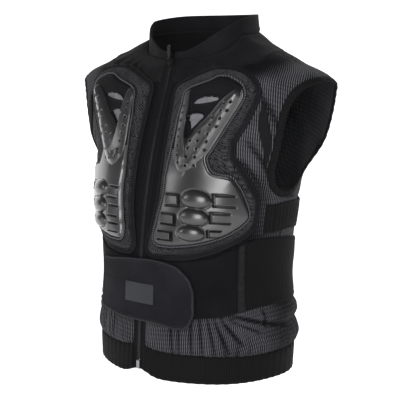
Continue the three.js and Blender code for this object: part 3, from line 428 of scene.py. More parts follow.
def cut_size(outer):
    """Width and length in metres of the rectangle a grid's cloth was cut from, and its area."""
    u, v = cloth_plan(outer)
    return (float(u[:, -1].max()) / 1000, float(v[-1].max()) / 1000), sheet_area(outer)


def cloth_piece(piece, node_name, outer, held, rests_on):
    """Puts a cloth piece in a node's place, riding on the vest, and measures the cloth it was cut
    from.
    """
    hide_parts(node_name)
    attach(piece, "vest")
    flat, area = cut_size(outer)


def right_name(name):
    return name.replace("left", "right")


def cloth_pair(piece, node_name, outer, held, rests_on, other_rests_on=None):
    """Puts a cloth piece of the wearer's left, and its mirror image on the right, in their nodes'
    places.
    """
    cloth_piece(piece, node_name, outer, held, rests_on)
    other = mirrored(piece, right_name(piece.name))
    cloth_piece(other, right_name(node_name), outer, held, other_rests_on or rests_on)


def both_sides(piece, node_name):
    """Puts a left piece and its mirror image in their nodes' places."""
    other = mirrored(piece, right_name(piece.name))
    for made, place in ((piece, node_name), (other, right_name(node_name))):
        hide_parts(place)
        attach(made, "vest")


# Materials


def node(tree, kind, links=None, values=None, **settings):
    """Adds one shader node with its settings, values and links."""
    made = tree.nodes.new(kind)
    for name, value in settings.items():
        setattr(made, name, value)
    for socket, value in (values or {}).items():
        made.inputs[socket].default_value = value
    for socket, source in (links or {}).items():
        tree.links.new(source, made.inputs[socket])
    return made


def material_tree(name):
    """A new material with a bare surface shader and output."""
    material = bpy.data.materials.new(name)
    material.use_nodes = True
    tree = material.node_tree
    tree.nodes.clear()
    surface = node(tree, 'ShaderNodeBsdfPrincipled')
    node(tree, 'ShaderNodeOutputMaterial', {"Surface": surface.outputs[0]})
    return material, tree, surface


def plan_axes(tree):
    """The cloth plan's two distances in millimetres."""
    plan = node(tree, 'ShaderNodeUVMap', uv_map="plan_mm")
    axes = node(tree, 'ShaderNodeSeparateXYZ', {"Vector": plan.outputs[0]})
    return axes.outputs[0], axes.outputs[1]


def scaled(tree, value, factor, offset):
    return calc(tree, 'MULTIPLY_ADD', value, factor, offset)


def calc(tree, operation, first, second=None, third=None):
    """One sum on sockets or numbers."""
    made = node(tree, 'ShaderNodeMath', operation=operation)
    for k, value in enumerate((first, second, third)):
        if value is None:
            continue
        if isinstance(value, (int, float)):
            made.inputs[k].default_value = value
        else:
            tree.links.new(value, made.inputs[k])
    return made.outputs[0]


def wave(tree, distance, pitch, shift=0.0):
    """A smooth wave from 0 to 1 that repeats at a pitch."""
    turned = scaled(tree, distance, 2 * math.pi / pitch, shift)
    return scaled(tree, calc(tree, 'SINE', turned), 0.5, 0.5)


def noise(tree, scale, detail=3, roughness=0.6):
    """Noise in the object's own space; scale counts its cells to a metre."""
    place = node(tree, 'ShaderNodeTexCoord')
    return node(tree, 'ShaderNodeTexNoise', {"Vector": place.outputs["Object"]},
                {"Scale": scale, "Detail": detail, "Roughness": roughness}).outputs[0]


def ramp(tree, value, stops):
    """A colour ramp through (place, colour) stops."""
    made = node(tree, 'ShaderNodeValToRGB', {0: value})
    band = made.color_ramp
    while len(band.elements) < len(stops):
        band.elements.new(0.5)
    for element, (place, tint) in zip(band.elements, stops):
        element.position = place
        element.color = (*tint, 1)
    return made.outputs[0]


def shade(tint, factor):
    return tuple(min(c * factor, 1) for c in tint)


def shades(tree, value, tint, *stops):
    """A colour ramp through shades of one tint, whose stops are (place, factor)."""
    return ramp(tree, value, [(place, shade(tint, factor)) for place, factor in stops])


def bump(tree, surface, height, depth, strength=1.0):
    """Raises the surface by a height of 0 to 1, depth in millimetres."""
    made = node(tree, 'ShaderNodeBump', {"Height": height},
                {"Strength": strength, "Distance": depth / 1000})
    tree.links.new(made.outputs[0], surface.inputs["Normal"])


def finish_cloth(tree, surface, tint, height, depth, roughness, sheen):
    """Links a cloth's colour and relief to its surface shader."""
    tree.links.new(tint, surface.inputs["Base Color"])
    surface.inputs["Roughness"].default_value = roughness
    surface.inputs["IOR"].default_value = 1.46
    surface.inputs["Specular IOR Level"].default_value = 0.12
    surface.inputs["Sheen Weight"].default_value = sheen
    surface.inputs["Sheen Roughness"].default_value = 0.45
    bump(tree, surface, height, depth)


def knitted_mesh(cloth):
    """Warp-knitted polyester mesh: bright upright ribs with dark pores between them, which the
    eye reads as fine light and dark stripes. The pitch is drawn at 3 mm, near its real size."""
    material, tree, surface = material_tree("knitted polyester mesh")
    u, v = plan_axes(tree)
    # A per-point mark darkens the mesh and flattens its ribs: painted shade on the shoulders and in
    # creases and fold valleys, a painted shadow below the armhole, and plain darker bands beside
    # the zip and the skirt's side seam.
    plain = node(tree, 'ShaderNodeAttribute', attribute_name="plain").outputs["Fac"]
    drift = scaled(tree, noise(tree, 30, 2), 2.4, -1.2)
    across = calc(tree, 'ADD', u, drift)
    rib = wave(tree, across, cloth.rib_pitch)
    course = wave(tree, scaled(tree, across, 2.0, v), 2 * cloth.rib_pitch)
    body = calc(tree, 'MULTIPLY', rib, scaled(tree, course, 0.35, 0.65))
    patchy = scaled(tree, noise(tree, 16, 3), 0.6, -0.3)
    level = calc(tree, 'SUBTRACT', calc(tree, 'ADD', body, patchy), plain)
    tint = ramp(tree, level, [(0.1, cloth.mesh_dark), (0.5, shade(cloth.mesh_light, 0.4)),
                              (0.85, cloth.mesh_light)])
    finish_cloth(tree, surface, tint, body, 0.45, 0.75, 0.02)
    return material


def stretch_jersey(cloth):
    """Smooth brushed nylon jersey: nearly black, with a faint soft bloom where it turns away."""
    material, tree, surface = material_tree("stretch nylon jersey")
    u, v = plan_axes(tree)
    knit = calc(tree, 'MULTIPLY', wave(tree, u, 1.1), wave(tree, v, 1.4))
    level = scaled(tree, knit, 0.12, noise(tree, 22, 4))
    tint = shades(tree, level, cloth.jersey, (0.3, 0.7), (0.75, 1.35))
    finish_cloth(tree, surface, tint, knit, 0.12, 0.8, 0.03)
    return material


def ribbed_elastic(cloth):
    """Woven elastic: narrow upright ribs over rubber threads, black with little shine."""
    material, tree, surface = material_tree("ribbed woven elastic")
    u, v = plan_axes(tree)
    rib = wave(tree, scaled(tree, noise(tree, 25, 2), 1.5, u), 3.6)
    body = scaled(tree, wave(tree, v, 1.2), 0.2, rib)
    level = scaled(tree, noise(tree, 18, 3), 0.5, body)
    tint = shades(tree, level, cloth.elastic, (0.2, 0.65), (1.0, 1.3))
    finish_cloth(tree, surface, tint, body, 0.3, 0.8, 0.02)
    return material


def woven_webbing(name, yarn):
    """Polyester webbing: a fine herringbone whose floats catch a little light."""
    material, tree, surface = material_tree(name)
    u, v = plan_axes(tree)
    slant = calc(tree, 'PINGPONG', u, 3.0)
    twill = wave(tree, scaled(tree, slant, 1.0, v), 1.8)
    level = scaled(tree, noise(tree, 40, 3), 0.5, twill)
    tint = shades(tree, level, yarn, (0.2, 0.45), (1.0, 1.4))
    finish_cloth(tree, surface, tint, twill, 0.25, 0.7, 0.02)
    return material


def spacer_mesh(armour):
    """Three-layer spacer mesh on foam: slanting light yarn round small dark pores, with a wider
    eyelet every 10 mm. The pores are drawn 3 mm apart, a little coarse, so that they show."""
    material, tree, surface = material_tree("polyester spacer mesh")
    u, v = plan_axes(tree)
    clear = node(tree, 'ShaderNodeAttribute', attribute_name="clear").outputs["Fac"]
    first = wave(tree, scaled(tree, v, 0.8, u), 3.0)
    second = wave(tree, scaled(tree, v, -0.9, u), 3.4)
    yarn = scaled(tree, second, 0.35, calc(tree, 'MULTIPLY', first, 0.65))
    row = wave(tree, scaled(tree, v, 0.5, u), 10.5)
    column = wave(tree, scaled(tree, u, -0.4, v), 9.5)
    eyelet = calc(tree, 'GREATER_THAN', calc(tree, 'MULTIPLY', row, column), 0.8)
    patchy = scaled(tree, noise(tree, 90, 3), 0.5, -0.25)
    level = calc(tree, 'SUBTRACT', calc(tree, 'ADD', yarn, patchy),
                 calc(tree, 'MULTIPLY', eyelet, 0.6))
    mesh = ramp(tree, level, [(0.25, armour.pad_dark), (0.6, shade(armour.pad_light, 0.4)),
                              (0.95, armour.pad_light)])
    lining = ramp(tree, noise(tree, 60, 3), [(0.3, hex_colour("#77777b")),
                                             (0.7, hex_colour("#98989c"))])
    tint = node(tree, 'ShaderNodeMix', {0: clear, 6: mesh, 7: lining},
                data_type='RGBA').outputs[2]
    finish_cloth(tree, surface, tint, level, 0.5, 0.7, 0.03)
    return material


def twisted_cord(armour):
    """Twisted polyester cord: smooth strands, each painted lighter where it turns to the top and
    darker where it dips, a painted highlight and painted shade.
    """
    material, tree, surface = material_tree("twisted polyester cord")
    # A per-point mark paints each strand lighter on top and darker in the twist: painted highlight
    # and painted shade.
    bead = node(tree, 'ShaderNodeAttribute', attribute_name="bead").outputs["Fac"]
    level = scaled(tree, noise(tree, 300, 2), 0.3, bead)
    tint = ramp(tree, level, [(0.5, shade(armour.pad_dark, 0.7)),
                              (0.8, shade(armour.pad_light, 0.35)),
                              (1.0, shade(armour.pad_light, 1.3))])
    finish_cloth(tree, surface, tint, noise(tree, 900, 2), 0.1, 0.4, 0.02)
    return material


def moulded_shell(armour):
    """Injection-moulded ABS from a polished tool, lacquered: black with broad silver-grey
    reflections that a faint orange peel and fine handling marks break up."""
    material, tree, surface = material_tree("lacquered moulded ABS")
    # A mark paints the holes, the tab slots and the grooves round the domes near black and rougher:
    # painted shade.
    pit = node(tree, 'ShaderNodeAttribute', attribute_name="pit").outputs["Fac"]
    base = shades(tree, noise(tree, 14, 3), armour.shell_colour, (0.3, 0.4), (0.8, 0.7))
    dark = node(tree, 'ShaderNodeMix', {0: pit, 6: base},
                {7: (0.0012, 0.0012, 0.0013, 1)}, data_type='RGBA')
    tree.links.new(dark.outputs[2], surface.inputs["Base Color"])
    worn = scaled(tree, noise(tree, 60, 4), 0.12, 0.25)
    tree.links.new(scaled(tree, pit, 0.5, worn), surface.inputs["Roughness"])
    surface.inputs["IOR"].default_value = 1.54
    surface.inputs["Specular IOR Level"].default_value = 1.0
    surface.inputs["Coat Weight"].default_value = 1.0
    surface.inputs["Coat Roughness"].default_value = 0.28
    bump(tree, surface, noise(tree, 500, 3), 0.03, 0.6)
    return material


def hard_material(name, tint, cells, stops, constants, grain=None):
    """A hard material: patches in shades of a tint, constants of its shader and a fine relief."""
    material, tree, surface = material_tree(name)
    tree.links.new(shades(tree, noise(tree, *cells), tint, *stops), surface.inputs["Base Color"])
    for socket, value in constants.items():
        surface.inputs[socket].default_value = value
    if grain:
        scale, depth, strength = grain
        bump(tree, surface, noise(tree, scale, 2), depth, strength)
    return material


def textured_shell(armour):
    """The same ABS where the tool is spark-eroded: a dull black grain that hardly reflects."""
    return hard_material("spark-eroded moulded ABS", armour.shell_colour, (40, 3),
                         ((0.3, 0.45), (0.8, 0.8)), {"Roughness": 0.55, "Specular IOR Level": 0.15},
                         (1400, 0.05, 0.7))


def loop_cloth(name, pile):
    """Brushed nylon loop cloth: matt black with a fine fuzzy nap."""
    material, tree, surface = material_tree(name)
    nap = noise(tree, 900, 3, 0.7)
    level = scaled(tree, noise(tree, 20, 3), 0.6, calc(tree, 'MULTIPLY', nap, 0.5))
    tint = shades(tree, level, pile, (0.3, 0.55), (0.8, 1.4))
    finish_cloth(tree, surface, tint, nap, 0.3, 0.92, 0.03)
    return material


def rubber_patch(belt):
    """Moulded soft PVC patch: even dark grey with a satin face."""
    return hard_material("moulded PVC patch", belt.patch_colour, (50, 3),
                         ((0.3, 0.85), (0.7, 1.1)), {"Roughness": 0.55}, (1500, 0.05, 1.0))


def zip_tape_cloth(zip_sizes):
    """Woven polyester zip tape: black, with a fine twill along it."""
    material, tree, surface = material_tree("woven zip tape")
    u, v = plan_axes(tree)
    twill = wave(tree, calc(tree, 'ADD', u, v), 1.5)
    tint = shades(tree, twill, zip_sizes.tooth_colour, (0.1, 0.35), (0.9, 1.2))
    finish_cloth(tree, surface, tint, twill, 0.15, 0.75, 0.02)
    return material


def moulded_teeth(zip_sizes):
    """Injected polyacetal teeth: black and slightly waxy."""
    return hard_material("polyacetal zip teeth", zip_sizes.tooth_colour, (300, 2),
                         ((0.3, 0.7), (0.7, 1.3)), {"Roughness": 0.38, "IOR": 1.48})


def die_cast(name, tint, roughness, metallic):
    """Die-cast zinc, enamelled or plated: small parts in patches of lighter and darker tone."""
    return hard_material(name, tint, (400, 3), ((0.35, 0.8), (0.75, 1.3)),
                         {"Metallic": metallic, "Roughness": roughness}, (1200, 0.03, 1.0))


def sewing_thread(tint):
    """Polyester sewing thread with a slight shine."""
    material, tree, surface = material_tree("polyester sewing thread")
    wear = shades(tree, noise(tree, 500, 2), tint, (0.3, 0.7), (0.7, 1))
    finish_cloth(tree, surface, wear, noise(tree, 2000, 1), 0.05, 0.55, 0.05)
    return material


def studio_floor():
    """Matt white sheet that glows with painted light of its own, dimmer in front of the vest and
    brighter behind it, with faint mottling.
    """
    material, tree, surface = material_tree("matt studio paint")
    tint = ramp(tree, noise(tree, 3, 3), [(0.3, hex_colour("#efefef")),
                                          (0.7, hex_colour("#f4f4f4"))])
    tree.links.new(tint, surface.inputs["Base Color"])
    surface.inputs["Roughness"].default_value = 0.95
    surface.inputs["Specular IOR Level"].default_value = 0.1
    place = node(tree, 'ShaderNodeTexCoord')
    axes = node(tree, 'ShaderNodeSeparateXYZ', {"Vector": place.outputs["Object"]})
    # Painted glow: the floor emits light, dimmer in front of the vest and brighter behind it, and
    # this glow also lights the vest.
    behind = ramp(tree, axes.outputs[1], [(0.02, hex_colour("#858585")),
                                          (0.25, hex_colour("#ffffff"))])
    tree.links.new(behind, surface.inputs["Emission Color"])
    surface.inputs["Emission Strength"].default_value = 0.85
    return material


MATERIALS = {}


def finish_of(kind):
    """The material of a kind, made once."""
    if kind not in MATERIALS:
        cloth, armour, belt, zip_sizes = map(sizes_of, ("cloth", "armour", "belt", "zip"))
        MATERIALS[kind] = {
            "mesh": lambda: knitted_mesh(cloth),
            "jersey": lambda: stretch_jersey(cloth),
            "elastic": lambda: ribbed_elastic(cloth),
            "webbing": lambda: woven_webbing("woven polyester webbing", cloth.jersey),
            "stay": lambda: woven_webbing("gathered stay channel", shade(cloth.jersey, 1.9)),
            "bound": lambda: woven_webbing("folded edge binding", shade(cloth.jersey, 3.2)),
            "air_mesh": lambda: spacer_mesh(armour),
            "cord": lambda: twisted_cord(armour),
            "shell": lambda: moulded_shell(armour),
            "grain": lambda: textured_shell(armour),
            "loop": lambda: loop_cloth("brushed nylon loop cloth", belt.loop_colour),
            "flap": lambda: loop_cloth("flap loop cloth", shade(belt.loop_colour, 2.1)),
            "patch": lambda: rubber_patch(belt),
            "zip_tape": lambda: zip_tape_cloth(zip_sizes),
            "teeth": lambda: moulded_teeth(zip_sizes),
            "thread": lambda: sewing_thread(hex_colour("#3a3a3d")),
            "enamel": lambda: die_cast("enamelled zinc", hex_colour("#2a2a2c"), 0.32, 0.4),
            "nickel": lambda: die_cast("nickel-plated steel", hex_colour("#b9b9bd"), 0.28, 1.0),
        }[kind]()
    return MATERIALS[kind]


# Seams and levels that the cloth pieces share

SEAM_GAP = 0.3
SEAM_LAP = 0.6
SEAM_ANGLE = 1.0
PANEL_FOOT = 3.4
ARM_FOOT, ARM_HEAD, ARM_SWEEP = 5.32, 8.3, 16.0
BINDING_WIDTH, BINDING_WALL, BINDING_STEP = 9.5, 4.0, 1.4
YOKE_SEAM = [(0, 9.2), (55, 9.2), (64, 9.0), (73, 9.05), (81, 9.35), (88, 9.6), (110, 9.7),
             (180, 9.6)]
COLLAR_RIM = [(0, 0.02), (24, 0.06), (44, 0.23), (66, 0.54), (86, 0.83), (127, 0.98), (180, 1.0)]


def arm_sweep(level):
    off = np.clip(abs(2 * level - ARM_FOOT - ARM_HEAD) / (ARM_HEAD - ARM_FOOT), 0, 1)
    return ARM_SWEEP * (1 - off ** 2.3) ** (1 / 2.3)


def seam_level(angle):
    return smooth_at(YOKE_SEAM, turn_of(angle))[0]


def panel_start():
    zip_sizes = sizes_of("zip")
    return zip_sizes.chain_width / 2 + zip_sizes.tape_width - SEAM_LAP


# Creases pressed into the cloth: from and to are (turn, height) on the body, on both sides.
CREASES = [
    # turn, height, turn, height, depth, width
    (66, -116, 80, -172, 1.9, 2.8),
    (64, -140, 78, -190, 1.7, 3.0),
    (70, -46, 77, -104, 1.8, 2.6),
    (64, -34, 74, -24, 1.6, 4.0),
    (84, -58, 90, -36, -2.0, 5.0),
    (78, -176, 98, -196, 1.6, 4.0),
    (52, -350, 66, -396, 2.6, 3.4),
    (50, -350, 59, -408, 2.4, 3.0),
    (47, -350, 52, -410, 2.0, 2.8),
    (43, -352, 45, -410, 1.8, 2.8),
    (54, -354, 76, -380, 2.4, 3.0),
    (56, -352, 96, -380, 3.4, 3.6),
    (78, -350, 79, -376, 2.8, 2.8),
    (90, -378, 118, -372, 2.6, 4.5),
    (38, -354, 39, -412, 1.8, 2.8),
    (31, -354, 31, -410, 1.5, 2.6),
    (25, -356, 27, -412, 1.7, 2.8),
    (104, -190, 126, -230, 1.8, 7.0),
    (112, -120, 96, -160, 2.2, 8.0),
    (150, -60, 130, -110, 2.0, 9.0),
    (140, -200, 165, -222, 1.6, 7.0),
]
CHART = 2.45  # millimetres to a degree on the chart that measures creases and outlines


def crease_lift(height, angle):
    """How far the creases pull the cloth in at a height and an angle."""
    turn = turn_of(angle)
    lift = np.zeros(np.broadcast(height, turn).shape)
    for turn_a, height_a, turn_b, height_b, depth, width in CREASES:
        start = np.array([turn_a * CHART, height_a])
        way = np.array([(turn_b - turn_a) * CHART, height_b - height_a])
        x, z = turn * CHART - start[0], height - start[1]
        share = np.clip((x * way[0] + z * way[1]) / (way @ way), 0, 1)
        away = np.hypot(x - share * way[0], z - share * way[1])
        fade = np.sqrt(np.clip(1 - (2 * share - 1) ** 2, 0, 1)) * 0.8 + 0.2
        lift -= depth * fade * bell(away, 0, width)
        lift += 0.45 * depth * fade * bell(away, 1.9 * width, width)
    return lift


class VEST_OT_panels(bpy.types.Operator):
    """Mesh front and back panels, from under the belt up to the yoke seam"""
    bl_idname = "vest.panels"
    bl_label = "Mesh Panels"

    def execute(self, context):
        form, cloth = body_form(), sizes_of("cloth")
        below = np.linspace(PANEL_FOOT, ARM_FOOT, 34, endpoint=False)
        eased = (1 - np.cos(np.linspace(0, np.pi, 64, endpoint=False))) / 2
        beside = mix(ARM_FOOT, ARM_HEAD, eased)
        levels = np.concatenate([below, beside])[:, None]
        top = np.linspace(0, 1, 20)[:, None]
        rows = len(levels) + len(top)

        least = form.degrees(SEAM_GAP / 2, np.full(rows, 6.0))
        sweep = np.concatenate([arm_sweep(levels[:, 0]), np.zeros(len(top))])
        sweep = np.maximum(sweep, least)[:, None]
        start_level = np.concatenate([levels[:, 0], mix(ARM_HEAD, 9.19, top[:, 0])])
        start = form.front_angle(start_level, panel_start())[:, None]
        spans = {
            "front": ("mesh_front_left", "front_panel_left", start, SEAM_ANGLE - sweep, 76),
            "back": ("mesh_back", "back_panel", SEAM_ANGLE + sweep, 180 - SEAM_ANGLE - sweep, 100),
        }
        for side, (name, node_name, low, high, columns) in spans.items():
            angle = mix(low, high, np.linspace(0, 1, columns)[None])
            lower = np.broadcast_to(levels, (len(levels), columns))
            upper = mix(ARM_HEAD, seam_level(angle[len(levels):]) - 0.01, top)
            level = np.concatenate([lower, upper])
            base, normal = form.ground(level, angle)
            height, turn = base[..., 2], turn_of(angle)
            crease = crease_lift(height, angle)
            if side == "front":
                under = smoothstep(71, 78, turn)
                slack = 0.2 * np.sin(height / 9 + turn / 7)
                ripple = np.minimum(crease, mix(0.4, 3, under)) + slack * under
            else:
                ripple = crease + 0.8 * np.sin(height / 21) * np.cos(np.radians(angle * 3))
            wall = cloth.mesh_wall / 2
            outer = lifted(base, normal, wall + ripple)
            inner = lifted(base, normal, ripple - wall)
            u, v = cloth_plan(base)
            plan = (u, v) if side == "front" else (u - u[:, -1:] / 2, v)
            # This mark paints shade into the mesh's colour: painted shade on the shoulder just
            # below the yoke seam, a dark ribless band beside the zip, a painted shadow below the
            # armhole, and painted shade in the creases, fainter on the back.
            from_seam = (seam_level(angle) - level) * 24
            plain = 0.9 * smoothstep(22, 4, from_seam) * smoothstep(60, 74, turn)
            plain = np.maximum(plain, smoothstep(26, 18, turn))
            shadow = smoothstep(-150, -190, height) * smoothstep(84, 68, turn)
            plain = np.maximum(plain, 0.7 * shadow)
            softer = np.where(angle > 30, 12, 3)
            plain = np.maximum(plain, np.clip(-crease / softer, 0, 0.6))
            piece = sheet(name, outer, inner, "mesh", "mesh", plan, {"plain": plain})
            declare = cloth_pair if side == "front" else cloth_piece
            declare(piece, node_name, outer, "stretched", ["neck_yoke"])
        return {'FINISHED'}


def round_angles(form, level, columns):
    """Angles of a row from one side of the zip round the back to the other."""
    start = form.front_angle(level, panel_start())
    return mix(start, 180 - start, np.linspace(0, 1, columns)[None])


class VEST_OT_yoke(bpy.types.Operator):
    """Jersey yoke round the neck and the stand collar on it"""
    bl_idname = "vest.yoke"
    bl_label = "Yoke and Collar"

    def execute(self, context):
        form, cloth = body_form(), sizes_of("cloth")
        sizes = sizes_of("form")
        columns, rows = 260, 22
        share = np.linspace(0, 1, rows)[:, None]
        angle = round_angles(form, np.full((rows, 1), 10.0), columns)
        level = mix(seam_level(angle) + 0.01, NECK_LEVEL - 0.01, share)
        base, normal = form.ground(level, angle)
        turn = turn_of(angle)
        gather = (2.0 * np.sin(np.radians(turn) * 46) * bell(turn, 62, 13)
                  + 0.35 * np.sin(np.radians(turn) * 31 + 1))
        pucker = gather * bell(share, 0, 0.34) + 0.3 * np.sin(9 * share + turn / 9)
        wall = cloth.mesh_wall / 2
        hem = 0.5 * bell(share, 0.06, 0.05)
        outer = lifted(base, normal, wall + pucker + hem)
        inner = lifted(base, normal, pucker - wall)
        piece = sheet("neck_yoke_cloth", outer, inner, "jersey", "jersey")
        cloth_piece(piece, "neck_yoke", outer, "stretched", ["front_panel_left", "back_panel"])

        rows = 26
        share = np.linspace(0, 1, rows)[:, None]
        start = form.front_angle(NECK_LEVEL, sizes_of("zip").chain_width / 2 + 0.3)
        angle = mix(start, 180 - start, np.linspace(0, 1, columns)[None])
        c, s = np.cos(np.radians(angle)), np.sin(np.radians(angle))
        depth = np.where(s < 0, 52.0, 84.0)
        reach = ((c / (sizes.collar_breadth / 2)) ** 2 + (s / depth) ** 2) ** -0.5
        rim_height = sizes.collar_top * smooth_at(COLLAR_RIM, turn_of(angle))[0]
        rim = np.stack([reach * c, reach * s, rim_height], -1)
        foot, normal = form.ground(NECK_LEVEL, angle)
        out = np.stack([c, s, np.zeros_like(c)], -1)
        share = share[..., None]
        face = mix(normal, out, share)
        face /= np.linalg.norm(face, axis=-1, keepdims=True)
        middle = mix(foot + [0, 0, 0.5], rim, share)
        turn = turn_of(angle)[..., None]
        roll = 1.3 * bell(share, 0.12, 0.1) - 0.9 * bell(share, 0, 0.05)
        slack = 0.8 * np.sin(np.radians(turn) * 9 + 4 * share) * share * (1 - share)
        dent = 1.5 * bell(turn, 52, 12) * np.sin(share * math.pi)
        wall = mix(cloth.mesh_wall, cloth.collar_wall, share) / 2
        lip = np.sqrt(1 - np.clip((share - 0.94) / 0.06, 0, 1) ** 2) * 0.7 + 0.3
        body = roll + slack - dent
        outer = middle + face * (wall * lip + body)
        inner = middle + face * (body - wall * lip)
        piece = sheet("collar_cloth", outer, inner, "jersey", "jersey")
        cloth_piece(piece, "collar", outer, "stretched", ["neck_yoke_cloth"])
        return {'FINISHED'}


class VEST_OT_bindings(bpy.types.Operator):
    """Elastic bindings that close the armholes"""
    bl_idname = "vest.bindings"
    bl_label = "Armhole Bindings"

    def execute(self, context):
        form = body_form()
        way = np.linspace(0, 2 * np.pi, 720, endpoint=False)
        level = mix(ARM_FOOT, ARM_HEAD, (1 - np.cos(way)) / 2)
        side = np.where(way < np.pi, -1, 1)
        angle = SEAM_ANGLE + side * arm_sweep(level)
        raw = form.point(level, angle)
        loop = even_loop(np.concatenate([raw, np.stack([level, angle], -1)], -1), BINDING_STEP)
        points, level, angle = loop[:, :3], loop[:, 3], loop[:, 4]
        up = form.normal(level, angle)
        along = np.roll(points, -1, axis=0) - np.roll(points, 1, axis=0)
        inward = np.cross(along, up)
        inward /= np.linalg.norm(inward, axis=-1, keepdims=True)
        toward = points.mean(axis=0) - points
        inward *= np.sign((inward * toward).sum(-1, keepdims=True))
        section = np.linspace(0, 2 * np.pi, 18, endpoint=False)
        across = 0.5 - 0.5 * np.sign(np.cos(section)) * abs(np.cos(section)) ** 0.7
        lift = 0.5 * np.sign(np.sin(section)) * abs(np.sin(section)) ** 0.8
        groove = 1 - 0.28 * bell(across, 0.3, 0.07)
        ruffle = 0.35 * np.sin(np.arange(len(points)) * BINDING_STEP / 2.1)[:, None] * across[None]
        stations = (points[:, None] + inward[:, None] * (SEAM_GAP + across * BINDING_WIDTH)[:, None]
                    + up[:, None] * (lift * groove * BINDING_WALL + ruffle)[..., None])
        both_sides(swept("armhole_elastic_left", stations, "elastic", (BINDING_STEP, 1.2)),
                   "armhole_binding_left")
        return {'FINISHED'}


# Layers over the panels: the lift of the first one, the gap from pad to plate, and their sizes
BASE = 1.95
LAYER_GAP = 0.95
PAD_EDGE, ARM_EDGE, PLATE_CROWN = 7.5, 13.5, 45  # how far in from an edge its rounding goes
BORDER_WALL, BORDER_WIDTH, BORDER_STEP = 1.8, 7.0, 1.5
PAD_TOP, PAD_HEIGHT = 24.0, 251.0
PLATE_TOP, PLATE_HEIGHT = 36.0, 224.0

# Rims of the wearer's left plate and pad: down is a share of the height, inner and outer are the
# angles of the zip side and the arm side.
PLATE_ROWS = [
    (0, -31.5, -27.5), (0.03, -38, -23.8), (0.069, -50, -23), (0.1, -55, -23.3),
    (0.16, -57, -25.5), (0.237, -60, -29), (0.33, -62, -33.5), (0.411, -64, -38),
    (0.464, -65, -41), (0.518, -66.5, -40), (0.556, -67, -37.5), (0.572, -67.6, -29.5),
    (0.607, -68, -27.5), (0.652, -68, -25.5), (0.72, -69, -23.5), (0.795, -71, -22),
    (0.835, -72.3, -23.5), (0.88, -73.2, -28), (0.93, -75, -35.5), (0.975, -75, -48),
    (1, -72, -62),
]
PAD_ROWS = [
    (0, -33, -26), (0.024, -42, -22), (0.06, -54, -20.3), (0.1, -67.5, -19.8), (0.19, -70, -22),
    (0.27, -71, -25), (0.355, -72, -29), (0.41, -72.5, -30), (0.45, -73, -30), (0.5, -73, -27),
    (0.545, -73.5, -24.5), (0.6, -74, -22), (0.7, -75, -18), (0.79, -77, -18.5),
    (0.86, -79, -22.5), (0.91, -80.5, -31), (0.955, -82, -41.5), (0.985, -81, -52),
    (1, -78, -64),
]


def rim_grid(form, rows, top, tall, count, columns):
    """Heights and angles of a grid between a piece's two rims, with rows evenly apart."""
    fine = smooth_rows(rows, np.linspace(0, len(rows) - 1, 900))
    height = -top - fine[:, 0] * tall
    edges = np.stack([form.ground_at(height, fine[:, k])[0] for k in (1, 2)], 1)
    step = np.linalg.norm(np.diff(edges, axis=0), axis=-1).max(axis=1)
    way = np.concatenate([[0], np.cumsum(step)])
    at = np.interp(np.linspace(0, way[-1], count), way, np.arange(len(way)))
    height, inner, outer = (np.interp(at, np.arange(len(way)), values)
                            for values in (height, fine[:, 1], fine[:, 2]))
    share = np.linspace(0, 1, columns)[None]
    return (np.broadcast_to(height[:, None], (count, columns)).copy(),
            mix(inner[:, None], outer[:, None], share))


def rim_line(height, angle, spacing, ease):
    """The closed rim of a grid as evenly spaced (height, angle) pairs with eased corners."""
    edge = rim_of(*height.shape)
    chart = np.stack([height.ravel()[edge], angle.ravel()[edge] * CHART], -1)
    loop = rounded_loop(even_loop(chart, spacing), ease)
    return loop[:, 0], loop[:, 1] / CHART


def loop_frame(form, height, angle):
    """Points of a loop on the body, with the directions out of the loop and off the body."""
    points, up = form.ground_at(height, angle)
    along = np.roll(points, -1, axis=0) - np.roll(points, 1, axis=0)
    out = np.cross(up, along)
    out /= np.linalg.norm(out, axis=-1, keepdims=True)
    away = points - points.mean(axis=0)
    if (out * away).sum() < 0:
        out = -out
    return points, out, up


def swell(distance, reach):
    """Roundness of a padded edge: 0 at the edge, 1 from a reach inward on."""
    return np.sqrt(1 - (1 - np.clip(distance / reach, 0, 1)) ** 2)


